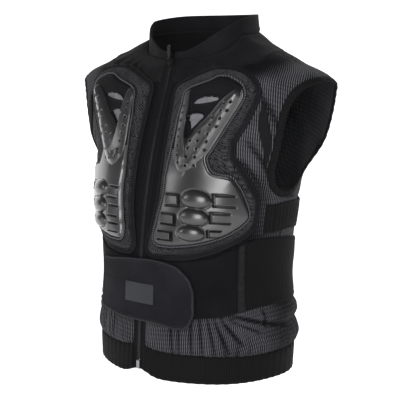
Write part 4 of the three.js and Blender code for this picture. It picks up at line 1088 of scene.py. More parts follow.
class VEST_OT_pads(bpy.types.Operator):
    """Foam chest pads in spacer mesh, with their flat borders"""
    bl_idname = "vest.pads"
    bl_label = "Chest Pads"

    def execute(self, context):
        form, armour = body_form(), sizes_of("armour")
        height, angle = rim_grid(form, PAD_ROWS, PAD_TOP, PAD_HEIGHT, 156, 62)
        base, normal = form.ground_at(height, angle)
        line_height, line_angle = rim_line(height, angle, BORDER_STEP, 2)
        away = nearest(base, form.ground_at(line_height, line_angle)[0])
        rise = swell(away, PAD_EDGE)
        plate_height, plate_angle = rim_grid(form, PLATE_ROWS, PLATE_TOP, PLATE_HEIGHT, 120, 60)
        near = nearest(base, form.ground_at(*rim_line(plate_height, plate_angle, 1.2, 2))[0])
        channel = 1.6 * bell(near, 4.2, 1.3)
        soft = 0.3 * np.sin(base[..., 2] / 6.3) * np.sin(angle / 1.9)
        lift = BASE + armour.pad_wall * mix(0.16, 1, rise) + (soft - channel) * rise
        outer = lifted(base, normal, lift)
        inner = lifted(base, normal, BASE)
        depths = (depth_inside(form, base, height, angle, outline_ring(outline))
                  for outline in (CRESCENT, ARCH))
        clear = sum(smoothstep(-5, -2, depth) for depth in depths)
        piece = sheet("chest_pad_foam_left", outer, inner, "air_mesh", "air_mesh",
                      marks={"clear": np.clip(clear, 0, 1)})
        both_sides(piece, "chest_pad_left")

        points, out, up = loop_frame(form, line_height, line_angle)
        section = [(-0.25, 0.0), (-0.25, 0.75), (0.0, 1.25), (0.14, 0.8), (0.35, 1.05), (0.7, 1.0),
                   (0.84, 0.72), (0.9, 0.95), (1.0, 0.55), (1.0, 0.0)]
        reach = np.array([s[0] for s in section]) * BORDER_WIDTH + SEAM_GAP
        rise = BASE + np.array([s[1] for s in section]) * BORDER_WALL
        ruffle = np.sin(np.arange(len(points)) * BORDER_STEP / 3.1)[:, None]
        ruffle = 0.16 * ruffle * (rise > BASE)[None]
        stations = (points[:, None] + out[:, None] * reach[:, None]
                    + up[:, None] * (rise + ruffle)[..., None])
        both_sides(swept("pad_border_left_cloth", stations, "jersey", (BORDER_STEP, 1.6)),
                   "pad_border_left")
        return {'FINISHED'}


class VEST_OT_piping(bpy.types.Operator):
    """Twisted cord sewn round each plate"""
    bl_idname = "vest.piping"
    bl_label = "Cord Piping"

    def execute(self, context):
        form, armour = body_form(), sizes_of("armour")
        height, angle = rim_grid(form, PLATE_ROWS, PLATE_TOP, PLATE_HEIGHT, 160, 70)
        line_height, line_angle = rim_line(height, angle, 1.0, 3)
        points, out, up = loop_frame(form, line_height, line_angle)
        radius = armour.cord_radius
        centre = points + out * (0.6 + 1.7 * radius) + up * (BASE + armour.pad_wall + 1.1)
        turns = round(len(points) / 5.6)
        twist = 2 * np.pi * turns * np.arange(len(points)) / len(points)
        section = np.linspace(0, 2 * np.pi, 8, endpoint=False)
        strands, painted_strand_shadings = [], []
        for phase in (0, np.pi):
            axis = (centre + out * (radius * 0.75 * np.cos(twist + phase))[:, None]
                    + up * (radius * 0.75 * np.sin(twist + phase))[:, None])
            strands.append(axis[:, None] + radius * (
                out[:, None] * np.cos(section)[:, None] + up[:, None] * np.sin(section)[:, None]))
            # Each strand is painted lighter where it lies on top and darker where it dips into the
            # twist: painted highlight and painted shade.
            painted_strand_shadings.append(np.repeat(0.5 + 0.5 * np.sin(twist + phase), len(section)))
        count, size = strands[0].shape[:2]
        faces = tube_faces(count, size)
        faces = np.concatenate([faces, faces + count * size])
        piece = new_piece("plate_cord_left", np.concatenate(strands).reshape(-1, 3),
                          faces.tolist(), finish_of("cord"),
                          marks={"bead": np.concatenate(painted_strand_shadings)}, slot="webbing")
        both_sides(piece, "plate_piping_left")
        return {'FINISHED'}


# Forms moulded in the wearer's left plate. Outlines and points are (down, angle), with down as a
# share of the plate's height. The arm and the zip side limb make a V and carry the holes.
ARM_OUTLINE = [
    (0.051, -25), (0.071, -23.8), (0.1, -24.1), (0.16, -26.3), (0.237, -29.8), (0.33, -34.3),
    (0.411, -38.8), (0.46, -41.8), (0.516, -45.8), (0.549, -49), (0.567, -52.5), (0.571, -55.5),
    (0.556, -58.6), (0.527, -60.6), (0.491, -61.4), (0.455, -59.8), (0.424, -57.7),
    (0.396, -55.3), (0.333, -50.1), (0.293, -46.5), (0.235, -40.1), (0.182, -35.7),
    (0.13, -32.3), (0.087, -28.7),
]
LIMB_ROWS = [
    # down, angles of its zip side and arm side, height at its crest
    (0.055, -52.5, -50.5, 0.5), (0.1, -55, -49.6, 2.6), (0.167, -57.6, -50, 4.6),
    (0.233, -59.4, -51, 6.6), (0.309, -61, -52.3, 7.8), (0.354, -61.8, -52.6, 8.2),
    (0.403, -62.4, -52, 8.4), (0.457, -62.6, -51.4, 8.4), (0.5, -61.6, -52, 7.6),
    (0.53, -59.5, -53, 6.0),
]
ARM_MIDDLE = [
    (0, -22), (0.08, -24), (0.163, -28.4), (0.249, -33), (0.346, -39.8), (0.425, -46.7),
    (0.504, -52.4), (0.6, -58),
]
CRESCENT = [(0.151, -48.1), (0.125, -45.1), (0.108, -40.8), (0.102, -35.9), (0.109, -32.4),
            (0.122, -32.8), (0.137, -36.9), (0.149, -42.8)]
ARCH = [(0.223, -51), (0.208, -47.9), (0.204, -43.9), (0.213, -41), (0.224, -40.9), (0.263, -44.9),
        (0.308, -49.6), (0.258, -50.4)]
HOLES = [
    (0.138, -29.4), (0.131, -27.1), (0.181, -31.1), (0.181, -28.7), (0.224, -35.0),
    (0.229, -31.9), (0.269, -36.4), (0.277, -33.7), (0.318, -42.3), (0.324, -38.0),
    (0.372, -48.6), (0.368, -43.6), (0.369, -39.0), (0.416, -50.0), (0.416, -44.5),
    (0.417, -40.4), (0.467, -51.0), (0.462, -45.8), (0.516, -51.9), (0.514, -47.0),
    (0.167, -54.4), (0.206, -55.2), (0.254, -56.2), (0.309, -57.3), (0.354, -57.9),
    (0.403, -58.3), (0.457, -58.2), (0.502, -57.3),
]
DOMES = [
    # down, angle, breadth, height
    (0.7125, -46.2, 39, 24.5), (0.817, -47.8, 38, 22.8), (0.914, -49.7, 35, 20.5),
]
TABS = [
    # top, foot, hinge, tip
    (0.698, 0.753, -66.5, -57.2), (0.812, 0.866, -69.5, -59.8), (0.921, 0.962, -71.5, -62),
    (0.684, 0.742, -27.5, -36.8), (0.791, 0.839, -30, -38.6), (0.896, 0.926, -34.4, -40.2),
]
TAB_RISE = 2.4
BAR_WIDTH, SLOT_WIDTH = 3.2, 1.9


def plate_point(down, angle):
    """Height and angle of a point of the plate."""
    return -PLATE_TOP - np.asarray(down, float) * PLATE_HEIGHT, np.asarray(angle, float)


def outline_ring(outline, ease=4):
    """An outline of (down, angle) as a smooth closed loop of heights and angles."""
    rows = np.array(outline)
    height, angle = plate_point(rows[:, 0], rows[:, 1])
    loop = rounded_loop(even_loop(np.stack([height, angle * CHART], -1), 0.7), ease)
    return loop[:, 0], loop[:, 1] / CHART


def inside(height, angle, ring):
    """Which points of a grid lie inside a loop of heights and angles."""
    found = np.zeros(height.shape, bool)
    ring_height, ring_angle = ring
    ends = zip(ring_height, ring_angle, np.roll(ring_height, -1), np.roll(ring_angle, -1))
    for h0, a0, h1, a1 in ends:
        rows = ((h0 > height[:, 0]) != (h1 > height[:, 0])).nonzero()[0]
        if len(rows):
            at = a0 + (height[rows] - h0) * (a1 - a0) / (h1 - h0)
            found[rows] ^= angle[rows] < at
    return found


def depth_inside(form, base, height, angle, ring):
    """Distance from a loop, positive inside it."""
    away = nearest(base, form.ground_at(*ring)[0])
    return np.where(inside(height, angle, ring), away, -away)


class VEST_OT_plates(bpy.types.Operator):
    """Moulded chest plates with perforated limbs, windows, domes and louvre tabs"""
    bl_idname = "vest.plates"
    bl_label = "Chest Plates"

    def execute(self, context):
        form, armour = body_form(), sizes_of("armour")
        height, angle = rim_grid(form, PLATE_ROWS, PLATE_TOP, PLATE_HEIGHT, 330, 160)
        level = form.level_at(height, angle)
        base, normal = form.ground(level, angle)
        across = form.point(level, angle + 0.1) - form.point(level, angle - 0.1)
        per_degree = np.linalg.norm(across, axis=-1) / 0.2
        down = (-height - PLATE_TOP) / PLATE_HEIGHT
        foot = BASE + armour.pad_wall + LAYER_GAP
        edge = nearest(base, form.ground_at(*rim_line(height, angle, 0.8, 3))[0])
        crown = swell(edge, PLATE_CROWN)
        middle = smooth_at(ARM_MIDDLE, down)[0]
        rear = smoothstep(-3, 3, angle - middle)
        lower = np.maximum(smoothstep(0.42, 0.6, down), rear * smoothstep(0.3, 0.5, down))
        body = mix(armour.plate_wall * 0.45, armour.plate_wall + 0.6 + 2.6 * crown, lower)
        body = body + 0.9 * smoothstep(0.1, 0.03, down)
        arm = depth_inside(form, base, height, angle, outline_ring(ARM_OUTLINE))
        limb_in, limb_out, crest = smooth_at(LIMB_ROWS, down)
        over = (angle - limb_in) / np.maximum(limb_out - limb_in, 0.1)
        limb = (np.clip(over, 0, 1) ** 0.75) * smoothstep(1.22, 0.92, over)
        limb = limb * smoothstep(0.03, 0.14, down) * (down < LIMB_ROWS[-1][0])
        lift = np.maximum(body, swell(arm, ARM_EDGE) * (armour.plate_wall + armour.arm_rise))
        lift = np.maximum(lift, body + limb * crest * smoothstep(0.54, 0.46, down))
        grain = (arm < 0.4) & (down < 0.43) & (angle < middle) & ((over > 1) | (limb < 0.04))
        pit = np.zeros(height.shape)

        for at, turn, breadth, tall in DOMES:
            x = (angle - turn) * per_degree
            z = height + PLATE_TOP + at * PLATE_HEIGHT
            q = np.hypot(x / (breadth / 2), z / (tall / 2))
            ball = np.sqrt(np.clip(1 - q ** 2, 0, 1))
            lift = lift + armour.dome_rise * ball - 1.2 * bell(q, 1.05, 0.06)
            # The groove round each dome is painted dark: painted shade.
            pit = np.maximum(pit, 0.8 * bell(q, 1.04, 0.05))
        for top, low, hinge, tip in TABS:
            side = math.copysign(1, tip - hinge)
            reach = (angle - hinge) * side * per_degree
            long = abs(tip - hinge) * per_degree
            z = height + PLATE_TOP + (top + low) / 2 * PLATE_HEIGHT
            tall = (low - top) * PLATE_HEIGHT / 2
            past = np.maximum((reach - long) * SLOT_WIDTH / BAR_WIDTH, abs(z) - tall)
            tongue = smoothstep(0.3, -0.5, past) * smoothstep(-1.5, 1.5, reach)
            slot = (smoothstep(-0.2, 0.3, past) * smoothstep(SLOT_WIDTH + 0.4, SLOT_WIDTH, past)
                    * smoothstep(-0.5, 1.2, reach))
            lift = lift + TAB_RISE * tongue * np.clip(reach / long, 0, 1)
            lift = mix(lift, -0.6, slot)
            # The slot beside each tongue is painted dark: painted shade.
            pit = np.maximum(pit, slot)
        away = nearest(base, form.ground_at(*plate_point(*np.array(HOLES).T))[0])
        radius = armour.hole_diameter / 2
        bore = smoothstep(radius + 0.15, radius - 0.35, away)
        lift = lift + 0.35 * bell(away - radius, 0.6, 0.45) * (1 - bore)
        lift = mix(lift, np.minimum(lift, 0.6), bore)
        # The shallow bores are painted near black: painted shade in place of deep holes.
        pit = np.maximum(pit, bore)

        flange = swell(edge, 2.0) * 1.5
        rim_top = flange + 100 * smoothstep(2.2, 3.4, edge) + swell(edge - 2.2, 3) * 4
        lift = np.minimum(lift, rim_top)
        cut = np.zeros(height.shape, bool)
        for outline in (CRESCENT, ARCH):
            near = depth_inside(form, base, height, angle, outline_ring(outline, 2))
            lip = 1.2 * bell(near, -1.1, 0.7)
            lift = np.where(near > 0, -0.6, lift + lip * (arm < -0.3))
            cut |= near > 0.75
        outer = lifted(base, normal, foot + lift)
        rows, columns = height.shape
        faces = grid_faces(rows, columns)
        faces = faces[~cut.ravel()[faces].any(axis=1)]
        border = rim_of(rows, columns)
        after = np.roll(border, -1)
        skirt = (base + (foot - 1.2) * normal).reshape(-1, 3)[border]
        number = rows * columns + np.arange(len(border))
        wall = np.stack([after, border, number, np.roll(number, -1)], -1)
        points = np.concatenate([outer.reshape(-1, 3), skirt])
        pit = np.concatenate([pit.ravel(), pit.ravel()[border]])
        grain = np.concatenate([grain.ravel(), grain.ravel()[border]])
        every = np.concatenate([faces, wall])
        used = np.zeros(len(points), bool)
        used[every.ravel()] = True
        dull = grain[every].mean(axis=1) > 0.5
        every = (np.cumsum(used) - 1)[every]
        flat = np.stack(cloth_plan(base), -1).reshape(-1, 2)
        flat = np.concatenate([flat, flat[border]])
        piece = new_piece("chest_shell_left", points[used], every.tolist(), finish_of("shell"),
                          flat[used], {"pit": pit[used]}, "shell")
        piece.data.materials.append(finish_of("grain"))
        piece.data.polygons.foreach_set("material_index", dull.astype(int))
        both_sides(piece, "chest_plate_left")
        return {'FINISHED'}


STRIP_ROWS = [
    # down as a share of the body length, angles of the front and rear edge
    (0.135, -18.4, -17.9), (0.163, -19.1, -17.4), (0.2, -20, -16.8), (0.235, -19.6, -16.1),
    (0.265, -18.6, -15.8), (0.29, -17.6, -15.5), (0.31, -16.8, -15.4), (0.33, -16.2, -15.3),
]
STRAP_TOP, STRAP_WIDTH, STRAP_WALL = 202.0, 40.0, 1.8
STRAP_SPAN = (-12.0, 42.0)


def soft_sheet(form, name, height, angle, low, high, kind, slot, rim=0):
    """A cloth piece from the heights, angles and lifts of a grid, with its outer points."""
    ground = form.ground_at(height, angle)
    outer = lifted(*ground, high)
    return sheet(name, outer, lifted(*ground, low), kind, slot, rim=rim), outer


class VEST_OT_straps(bpy.types.Operator):
    """Webbing strips beside the pads and elastic straps under the arms"""
    bl_idname = "vest.straps"
    bl_label = "Strips and Straps"

    def execute(self, context):
        form, sizes = body_form(), sizes_of("form")
        rows = smooth_rows(STRIP_ROWS, np.linspace(0, len(STRIP_ROWS) - 1, 60))
        share = np.linspace(0, 1, 12)[None]
        angle = mix(rows[:, 1:2], rows[:, 2:3], share)
        height = np.broadcast_to(-rows[:, :1] * sizes.body_length, angle.shape)
        lift = BASE + 1.6 - 0.5 * bell(share, 0.14, 0.06) - 0.5 * bell(share, 0.86, 0.06)
        piece, outer = soft_sheet(form, "side_webbing_left", height, angle, BASE - 0.6, lift,
                                  "webbing", "webbing", 1)
        cloth_pair(piece, "side_strip_left", outer, "stretched", ["mesh_front_left"])

        up, share = shares(30, 150)
        angle = mix(*STRAP_SPAN, share) * np.ones_like(up)
        height = -STRAP_TOP - STRAP_WIDTH * (1 - up) + 1.2 * np.sin(angle / 5)
        gather = 0.35 * np.sin(angle * 2.2) * np.sin(up * math.pi)
        seam = -0.9 * bell(angle, -7, 0.8) - 0.9 * bell(angle, 38, 0.8)
        hems = -0.5 * bell(np.minimum(up, 1 - up), 0.12, 0.03)
        lift = BASE + STRAP_WALL + gather + seam + hems
        piece, outer = soft_sheet(form, "side_elastic_left", height, angle, BASE - 0.6, lift,
                                  "elastic", "elastic", 2)
        cloth_pair(piece, "side_strap_left", outer, "stretched", ["mesh_front_left", "mesh_back"])
        return {'FINISHED'}


FLAP_SEAM = 4.6  # the stitched line inside the flap's edge


def flap_lift(belt, angle):
    """Lift of the flap's face, and how far its free end curls off the belt."""
    curl = 1.6 * smoothstep(-62, -49, angle)
    return BASE + BELT_WALL + 1.0 + belt.flap_wall, curl


BELT_EDGES = [
    (0, -0.173, -1.131), (20, -0.161, -1.119), (35, -0.131, -1.083), (52, -0.045, -1.036),
    (58, 0.045, -1.0), (64, 0.13, -0.964), (70, 0.21, -0.928), (77, 0.26, -0.898),
    (97, 0.21, -0.881), (112, 0.12, -0.881), (180, 0.095, -0.881),
]
FLAP_EDGES = [
    (-130, -0.25, -1.09), (-121, -0.244, -1.114), (-105, -0.19, -1.148), (-90, -0.16, -1.153),
    (-78, -0.142, -1.148), (-67, -0.165, -1.17), (-60, -0.21, -1.199), (-55, -0.3, -1.185),
    (-51.5, -0.41, -1.12), (-49, -0.6, -0.95),
]
BONE_FRONT, BONE_WIDTH = -26.0, 11.0
BELT_WALL = 2.4
REAR_STAYS = (62, 76, 104, 118)
LABEL_SPAN, LABEL_DROP = (-100.0, -75.5), (0.54, 0.86)


def belt_height(belt, angle, share):
    """Height at a share of the belt, from its foot 0 to its top 1."""
    top, foot = smooth_at(BELT_EDGES, turn_of(angle))
    return -belt.belt_top + belt.belt_height * mix(foot, top, share)


class VEST_OT_belt(bpy.types.Operator):
    """Belt panels, stays, elastic back, wrap-over flap and bare patch"""
    bl_idname = "vest.belt"
    bl_label = "Belt"

    def execute(self, context):
        form, belt = body_form(), sizes_of("belt")
        rows = 30
        share = np.linspace(0, 1, rows)[:, None]
        edge = np.minimum(share, 1 - share)
        hem = 0.7 * bell(edge, 0, 0.05) - 0.6 * bell(edge, 0.075, 0.018)
        bone_rear = BONE_FRONT + float(form.degrees(BONE_WIDTH, 4.0))
        gap = float(form.degrees(0.3, 4.0))
        stretches = [
            ("belt_front_left", "belt_panel_left", FRONT + gap, BONE_FRONT - gap, 84, "loop"),
            ("belt_stay_left", "belt_bone_left", BONE_FRONT, bone_rear, 18, "stay"),
            ("belt_rear", "belt_back", bone_rear + gap, 180 - bone_rear - gap, 220, "elastic"),
        ]
        for name, node_name, low, high, columns, kind in stretches:
            share, along = shares(rows, columns)
            angle = mix(low, high, along) * np.ones((rows, 1))
            height = belt_height(belt, angle, share)
            lift = BASE + BELT_WALL + hem
            if kind == "loop":
                lift = lift + 0.5 * np.sin(angle / 4.6 + share * 3) * np.sin(share * math.pi)
            elif kind == "stay":
                pucker = 1.5 * np.sin(share * 66 + 2 * np.sin(along * 3))
                side = bell(np.minimum(along, 1 - along), 0.12, 0.07)
                lift = lift + 0.9 * np.sin(along * math.pi) + pucker * (1 - side) - 1.1 * side
            else:
                sag = 0.8 * np.sin(share * 9 + angle / 24) * np.sin(share * math.pi)
                stays = sum(bell(angle, at, 1.6) for at in REAR_STAYS)
                lift = lift + sag * 0.6 + 0.9 * stays
            piece, outer = soft_sheet(form, name, height, angle, BASE - 0.3, lift, kind,
                                      "webbing" if kind == "stay" else kind, 2)
            under = ["mesh_front_left", "mesh_back"]
            if kind == "elastic":
                cloth_piece(piece, node_name, outer, "stretched", under)
            else:
                cloth_pair(piece, node_name, outer, "stretched", under, ["mesh_front_right"])
        self.flap(form, belt)
        return {'FINISHED'}

    def flap(self, form, belt):
        """The flap with its bound edge, and the patch on it."""
        low, high = FLAP_EDGES[0][0], FLAP_EDGES[-1][0]
        columns, rows = 170, 74
        share, along = shares(rows, columns)
        angle = mix(low, high, 1 - (1 - along) ** 1.35) * np.ones((rows, 1))
        top, foot = smooth_at(FLAP_EDGES, angle)
        height = -belt.belt_top + belt.flap_drop * mix(foot, top, share)
        base, normal = form.ground_at(height, angle)
        away = nearest(base, base.reshape(-1, 3)[rim_of(rows, columns)])
        bound = 0.75 * smoothstep(6.2, 5.4, away) * swell(away, 1.6) - 0.45 * (1 - swell(away, 1.8))
        stitch = -0.35 * bell(away, FLAP_SEAM, 0.5)
        seam_at = np.where(share > 0.5, -76, -78)
        seam = bell(angle, seam_at, 0.5) * smoothstep(0.16, 0.22, abs(share - 0.46))
        rail = bell(height + belt.belt_top, -LABEL_DROP[0] * belt.flap_drop, 0.9)
        seam = seam + rail * smoothstep(LABEL_SPAN[0] - 1, LABEL_SPAN[0] - 4, angle)
        bow = 0.9 * np.sin(angle / 9.0 + 0.6) * np.sin(share * math.pi)
        face, curl = flap_lift(belt, angle)
        lift = face + bound + stitch + bow * 0.6 + curl - 0.9 * seam
        inner_lift = BASE + BELT_WALL + 0.8 + bow * 0.5 + curl
        outer = lifted(base, normal, lift)
        inner = lifted(base, normal, inner_lift)
        piece = sheet("belt_flap_cloth", outer, inner, "flap", "loop")
        piece.data.materials.append(finish_of("bound"))
        edge = away.ravel()[grid_faces(rows, columns)].mean(axis=1) < 2.4
        kinds = np.zeros(len(piece.data.polygons), int)
        kinds[:len(edge)] = edge
        piece.data.polygons.foreach_set("material_index", kinds)
        cloth_piece(piece, "belt_flap", outer, "stretched", ["belt_front_left"])

        share, along = shares(34, 60)
        angle = mix(*LABEL_SPAN, along) * np.ones_like(share)
        height = -belt.belt_top - belt.flap_drop * mix(*LABEL_DROP, 1 - share) * np.ones_like(angle)
        x = np.minimum(along, 1 - along) * 54
        z = np.minimum(share, 1 - share) * 28
        border = np.minimum(x, z) * np.ones_like(angle)
        top_lift = BASE + BELT_WALL + 1.9 + belt.flap_wall
        bow = 0.54 * np.sin(angle / 9.0 + 0.6) * np.sin(
            smoothstep(-1.15, -0.15, -mix(*LABEL_DROP, 1 - share)) * math.pi)
        lift = (top_lift + 0.55 * swell(border, 1.2) - 0.3 * bell(border, 2.4, 0.5)
                + bow)
        piece, _ = soft_sheet(form, "belt_patch", height, angle, top_lift - 1.6, lift, "patch",
                              "patch")
        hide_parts("belt_label")
        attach(piece, "vest")


HEM_LEVEL = 0.975  # where the skirt meets the hem band
# Rise of the gathered skirt, as shares of its puff, from the belt's foot down to the hem band
SKIRT_ROWS = [
    # share, front, side
    (-0.35, 0, 0), (0, 0.02, 0.05), (0.22, 0.22, 0.85), (0.47, 0.4, 0.3), (0.74, 0.42, 1.0),
    (1, 0.08, 0.1),
]


class VEST_OT_skirt(bpy.types.Operator):
    """Gathered mesh skirt and the ribbed hem band"""
    bl_idname = "vest.skirt"
    bl_label = "Skirt and Hem"

    def execute(self, context):
        form, cloth = body_form(), sizes_of("cloth")
        belt = sizes_of("belt")
        rows = 46
        share = mix(-0.35, 1.0, np.linspace(0, 1, rows))[:, None]
        start = form.front_angle(mix(3.3, HEM_LEVEL, np.linspace(0, 1, rows)), panel_start())
        start = start[:, None]
        gap = float(form.degrees(SEAM_GAP / 2, 2.0))
        spans = {
            "skirt_front_left": ("skirt_left", start, SEAM_ANGLE - gap, 160),
            "skirt_rear": ("skirt_back", SEAM_ANGLE + gap, 180 - SEAM_ANGLE - gap, 270),
        }
        for name, (node_name, low, high, columns) in spans.items():
            angle = mix(low, high, np.linspace(0, 1, columns)[None]) * np.ones((rows, 1))
            turn = turn_of(angle)
            top = belt_height(belt, angle, 0.0)
            foot = form.point(np.full(angle.shape, HEM_LEVEL), angle)[..., 2]
            height = mix(top, foot, share)
            level = np.maximum(form.level_at(height, angle), HEM_LEVEL)
            base, normal = form.ground(level, angle)
            front, side = smooth_at(SKIRT_ROWS, share * np.ones_like(angle))
            sideward = smoothstep(45, 85, turn)
            puff = cloth.skirt_puff * mix(front, side, sideward) - 1.2 * smoothstep(0.9, 1, share)
            free = np.clip(share, 0, 1) * (1 - np.clip((share - 0.93) / 0.07, 0, 1) ** 2)
            gather = bell(share, 1, 0.16) + bell(share, 0, 0.14)
            arc = np.radians(turn) * 128
            wander = 3.2 * np.sin(arc / 37) + 5.5 * (share - 0.5) * np.sin(arc / 61 + 1)
            fold = np.sin(2 * np.pi * (arc + wander) / cloth.fold_pitch)
            fold = fold * (0.65 + 0.5 * np.sin(arc / 23 + 2)) * 1.7 * free
            fine = 0.42 * np.sin(2 * np.pi * (arc + 0.4 * wander) / 5.2) * gather * (share > 0)
            crease = crease_lift(base[..., 2], angle)
            edge = smoothstep(5, 10, turn)
            lift = (puff + fold + crease * np.clip(share * 8, 0, 1)) * edge + fine
            # This mark paints shade into the mesh's colour: painted shade in the creases and fold
            # valleys, and darker towards the side seam.
            plain = np.clip(np.maximum(-crease / 4.2, -0.25 - 0.3 * fold), 0, 0.6)
            plain = np.maximum(plain, 0.4 * smoothstep(80, 92, turn))
            wall = cloth.mesh_wall / 2
            outer = lifted(base, normal, wall + lift)
            inner = lifted(base, normal, lift - wall)
            piece = sheet(name, outer, inner, "mesh", "mesh", marks={"plain": plain})
            declare = cloth_pair if name == "skirt_front_left" else cloth_piece
            declare(piece, node_name, outer, "gathered", ["belt_rear", "hem_elastic"])

        rows, columns = 24, 460
        share = np.linspace(0, 1, rows)[:, None]
        angle = round_angles(form, share, columns)
        level = share * np.ones_like(angle)
        base, normal = form.ground(level, angle)
        arc = np.radians(turn_of(angle)) * 130
        ruffle = np.sin(2 * np.pi * (arc + 3 * np.sin(arc / 29)) / 11.5)
        body = swell(np.minimum(share, 1 - share) * 40, 3.2)
        edge = bell(np.minimum(share, 1 - share), 0.02, 0.14)
        lift = 0.5 * ruffle * (0.35 + 0.8 * edge) + 0.5 * np.sin(arc / 17 + share * 2)
        tunnel = -0.45 * bell(share, 0.9, 0.02)
        outer = lifted(base, normal, 0.65 * cloth.hem_wall * body + lift + tunnel)
        inner = lifted(base, normal, -0.35 * cloth.hem_wall * body + lift)
        piece = sheet("hem_elastic", outer, inner, "elastic", "elastic")
        cloth_piece(piece, "hem_band", outer, "stretched", ["skirt_front_left", "skirt_rear"])
        return {'FINISHED'}


TAPE_WALL, CHAIN_WALL = 1.8, 2.4
BOX_HEIGHT = 12.0


class VEST_OT_zip(bpy.types.Operator):
    """Zip tapes with their teeth; the slider, pull and box keep their solids"""
    bl_idname = "vest.zip"
    bl_label = "Zip"

    def execute(self, context):
        form, sizes = body_form(), sizes_of("zip")
        half = sizes.chain_width / 2
        rows, columns = 260, 12
        level = np.linspace(0, NECK_LEVEL - 0.01, rows)[:, None] * np.ones((1, columns))
        across = np.linspace(half * 0.55, half + 0.3 + sizes.tape_width, columns)[None]
        angle = form.front_angle(level, across * np.ones((rows, 1)))
        base, normal = form.ground(level, angle)
        seam = 0.7 * bell(across - half - sizes.tape_width, -0.8, 0.9)
        line = -0.35 * bell(across - half, 3.4, 0.45)
        lift = TAPE_WALL / 2 + seam + line + 0 * level
        outer = lifted(base, normal, lift)
        inner = lifted(base, normal, -TAPE_WALL / 2)
        piece = sheet("zip_tape_left_cloth", outer, inner, "zip_tape", "zip_tape")
        cloth_pair(piece, "zip_tape_left", outer, "stretched", ["mesh_front_left"])

        way = form.point(np.linspace(0, NECK_LEVEL, 900), FRONT)
        line = even_loop(np.concatenate([way, np.linspace(0, NECK_LEVEL, 900)[:, None]], -1),
                         sizes.tooth_pitch / 2, closed=False)
        line = line[line[:, 2] > way[0, 2] + BOX_HEIGHT]
        points, faces = [], []
        tooth = np.array([
            (0.25, -0.36, -0.5), (0.25, 0.36, -0.5), (1.0, 0.42, -0.5), (1.0, -0.42, -0.5),
            (0.25, -0.24, 0.5), (0.25, 0.24, 0.5), (1.0, 0.3, 0.42), (1.0, -0.3, 0.42),
            (-0.3, -0.2, -0.4), (-0.3, 0.2, -0.4), (-0.3, -0.12, 0.3), (-0.3, 0.12, 0.3),
        ])
        sides = [(0, 3, 7, 4), (1, 5, 6, 2), (3, 2, 6, 7), (4, 7, 6, 5), (0, 1, 2, 3),
                 (8, 0, 4, 10), (9, 11, 5, 1), (8, 10, 11, 9), (10, 4, 5, 11), (8, 9, 1, 0)]
        for k, (x, y, z, level) in enumerate(line):
            hand = 1 if k % 2 else -1
            up = form.normal(level, FRONT)
            along = np.cross(up, [1, 0, 0])
            place = (np.array([x, y, z])
                     + tooth[:, :1] * hand * half * np.array([[1, 0, 0]])
                     + tooth[:, 1:2] * sizes.tooth_pitch * along
                     + (tooth[:, 2:] * CHAIN_WALL + 0.3) * up)
            start = len(points) * len(tooth)
            order = sides if hand > 0 else [side[::-1] for side in sides]
            faces += [tuple(start + n for n in side) for side in order]
            points.append(place)
        piece = new_piece("zip_teeth", np.concatenate(points), faces, finish_of("teeth"),
                          slot="zip_teeth", smooth=False)
        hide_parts("zip_chain")
        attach(piece, "vest")
        for node_name, kind in (("zip_slider", "enamel"), ("zip_pull", "enamel"),
                                ("zip_box", "nickel")):
            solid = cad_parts[node_name]
            solid.data.materials.clear()
            solid.data.materials.append(finish_of(kind))
        return {'FINISHED'}


# Stitches, and how far out on a pad's border its two rows of them lie
STITCH_PITCH, STITCH_LENGTH, STITCH_RADIUS = 3.2, 2.1, 0.32
BORDER_SEAMS = (1.2, 5.8)


def stitch_row(form, height, angle, lift):
    """Points and faces of a row of stitches along a line on the body."""
    line = even_loop(np.stack([height, angle * CHART, lift], -1), STITCH_PITCH, closed=False)
    height, angle, lift = line[:, 0], line[:, 1] / CHART, line[:, 2]
    points, up = form.ground_at(height, angle)
    points = lifted(points, up, lift)
    along = np.gradient(points, axis=0)
    along /= np.linalg.norm(along, axis=-1, keepdims=True)
    side = np.cross(up, along)
    turn = np.linspace(0, 2 * np.pi, 6, endpoint=False)
    rings = [(-0.5, 0.35), (-0.28, 1.0), (0.28, 1.0), (0.5, 0.35)]
    verts = np.stack([
        points[:, None] + along[:, None] * STITCH_LENGTH * at
        + STITCH_RADIUS * size * (side[:, None] * np.cos(turn)[:, None]
                                  + up[:, None] * np.sin(turn)[:, None])
        for at, size in rings], 1)
    one = grid_faces(4, 6, wrap=True)
    faces = np.concatenate([one + 24 * k for k in range(len(points))])
    return verts.reshape(-1, 3), faces


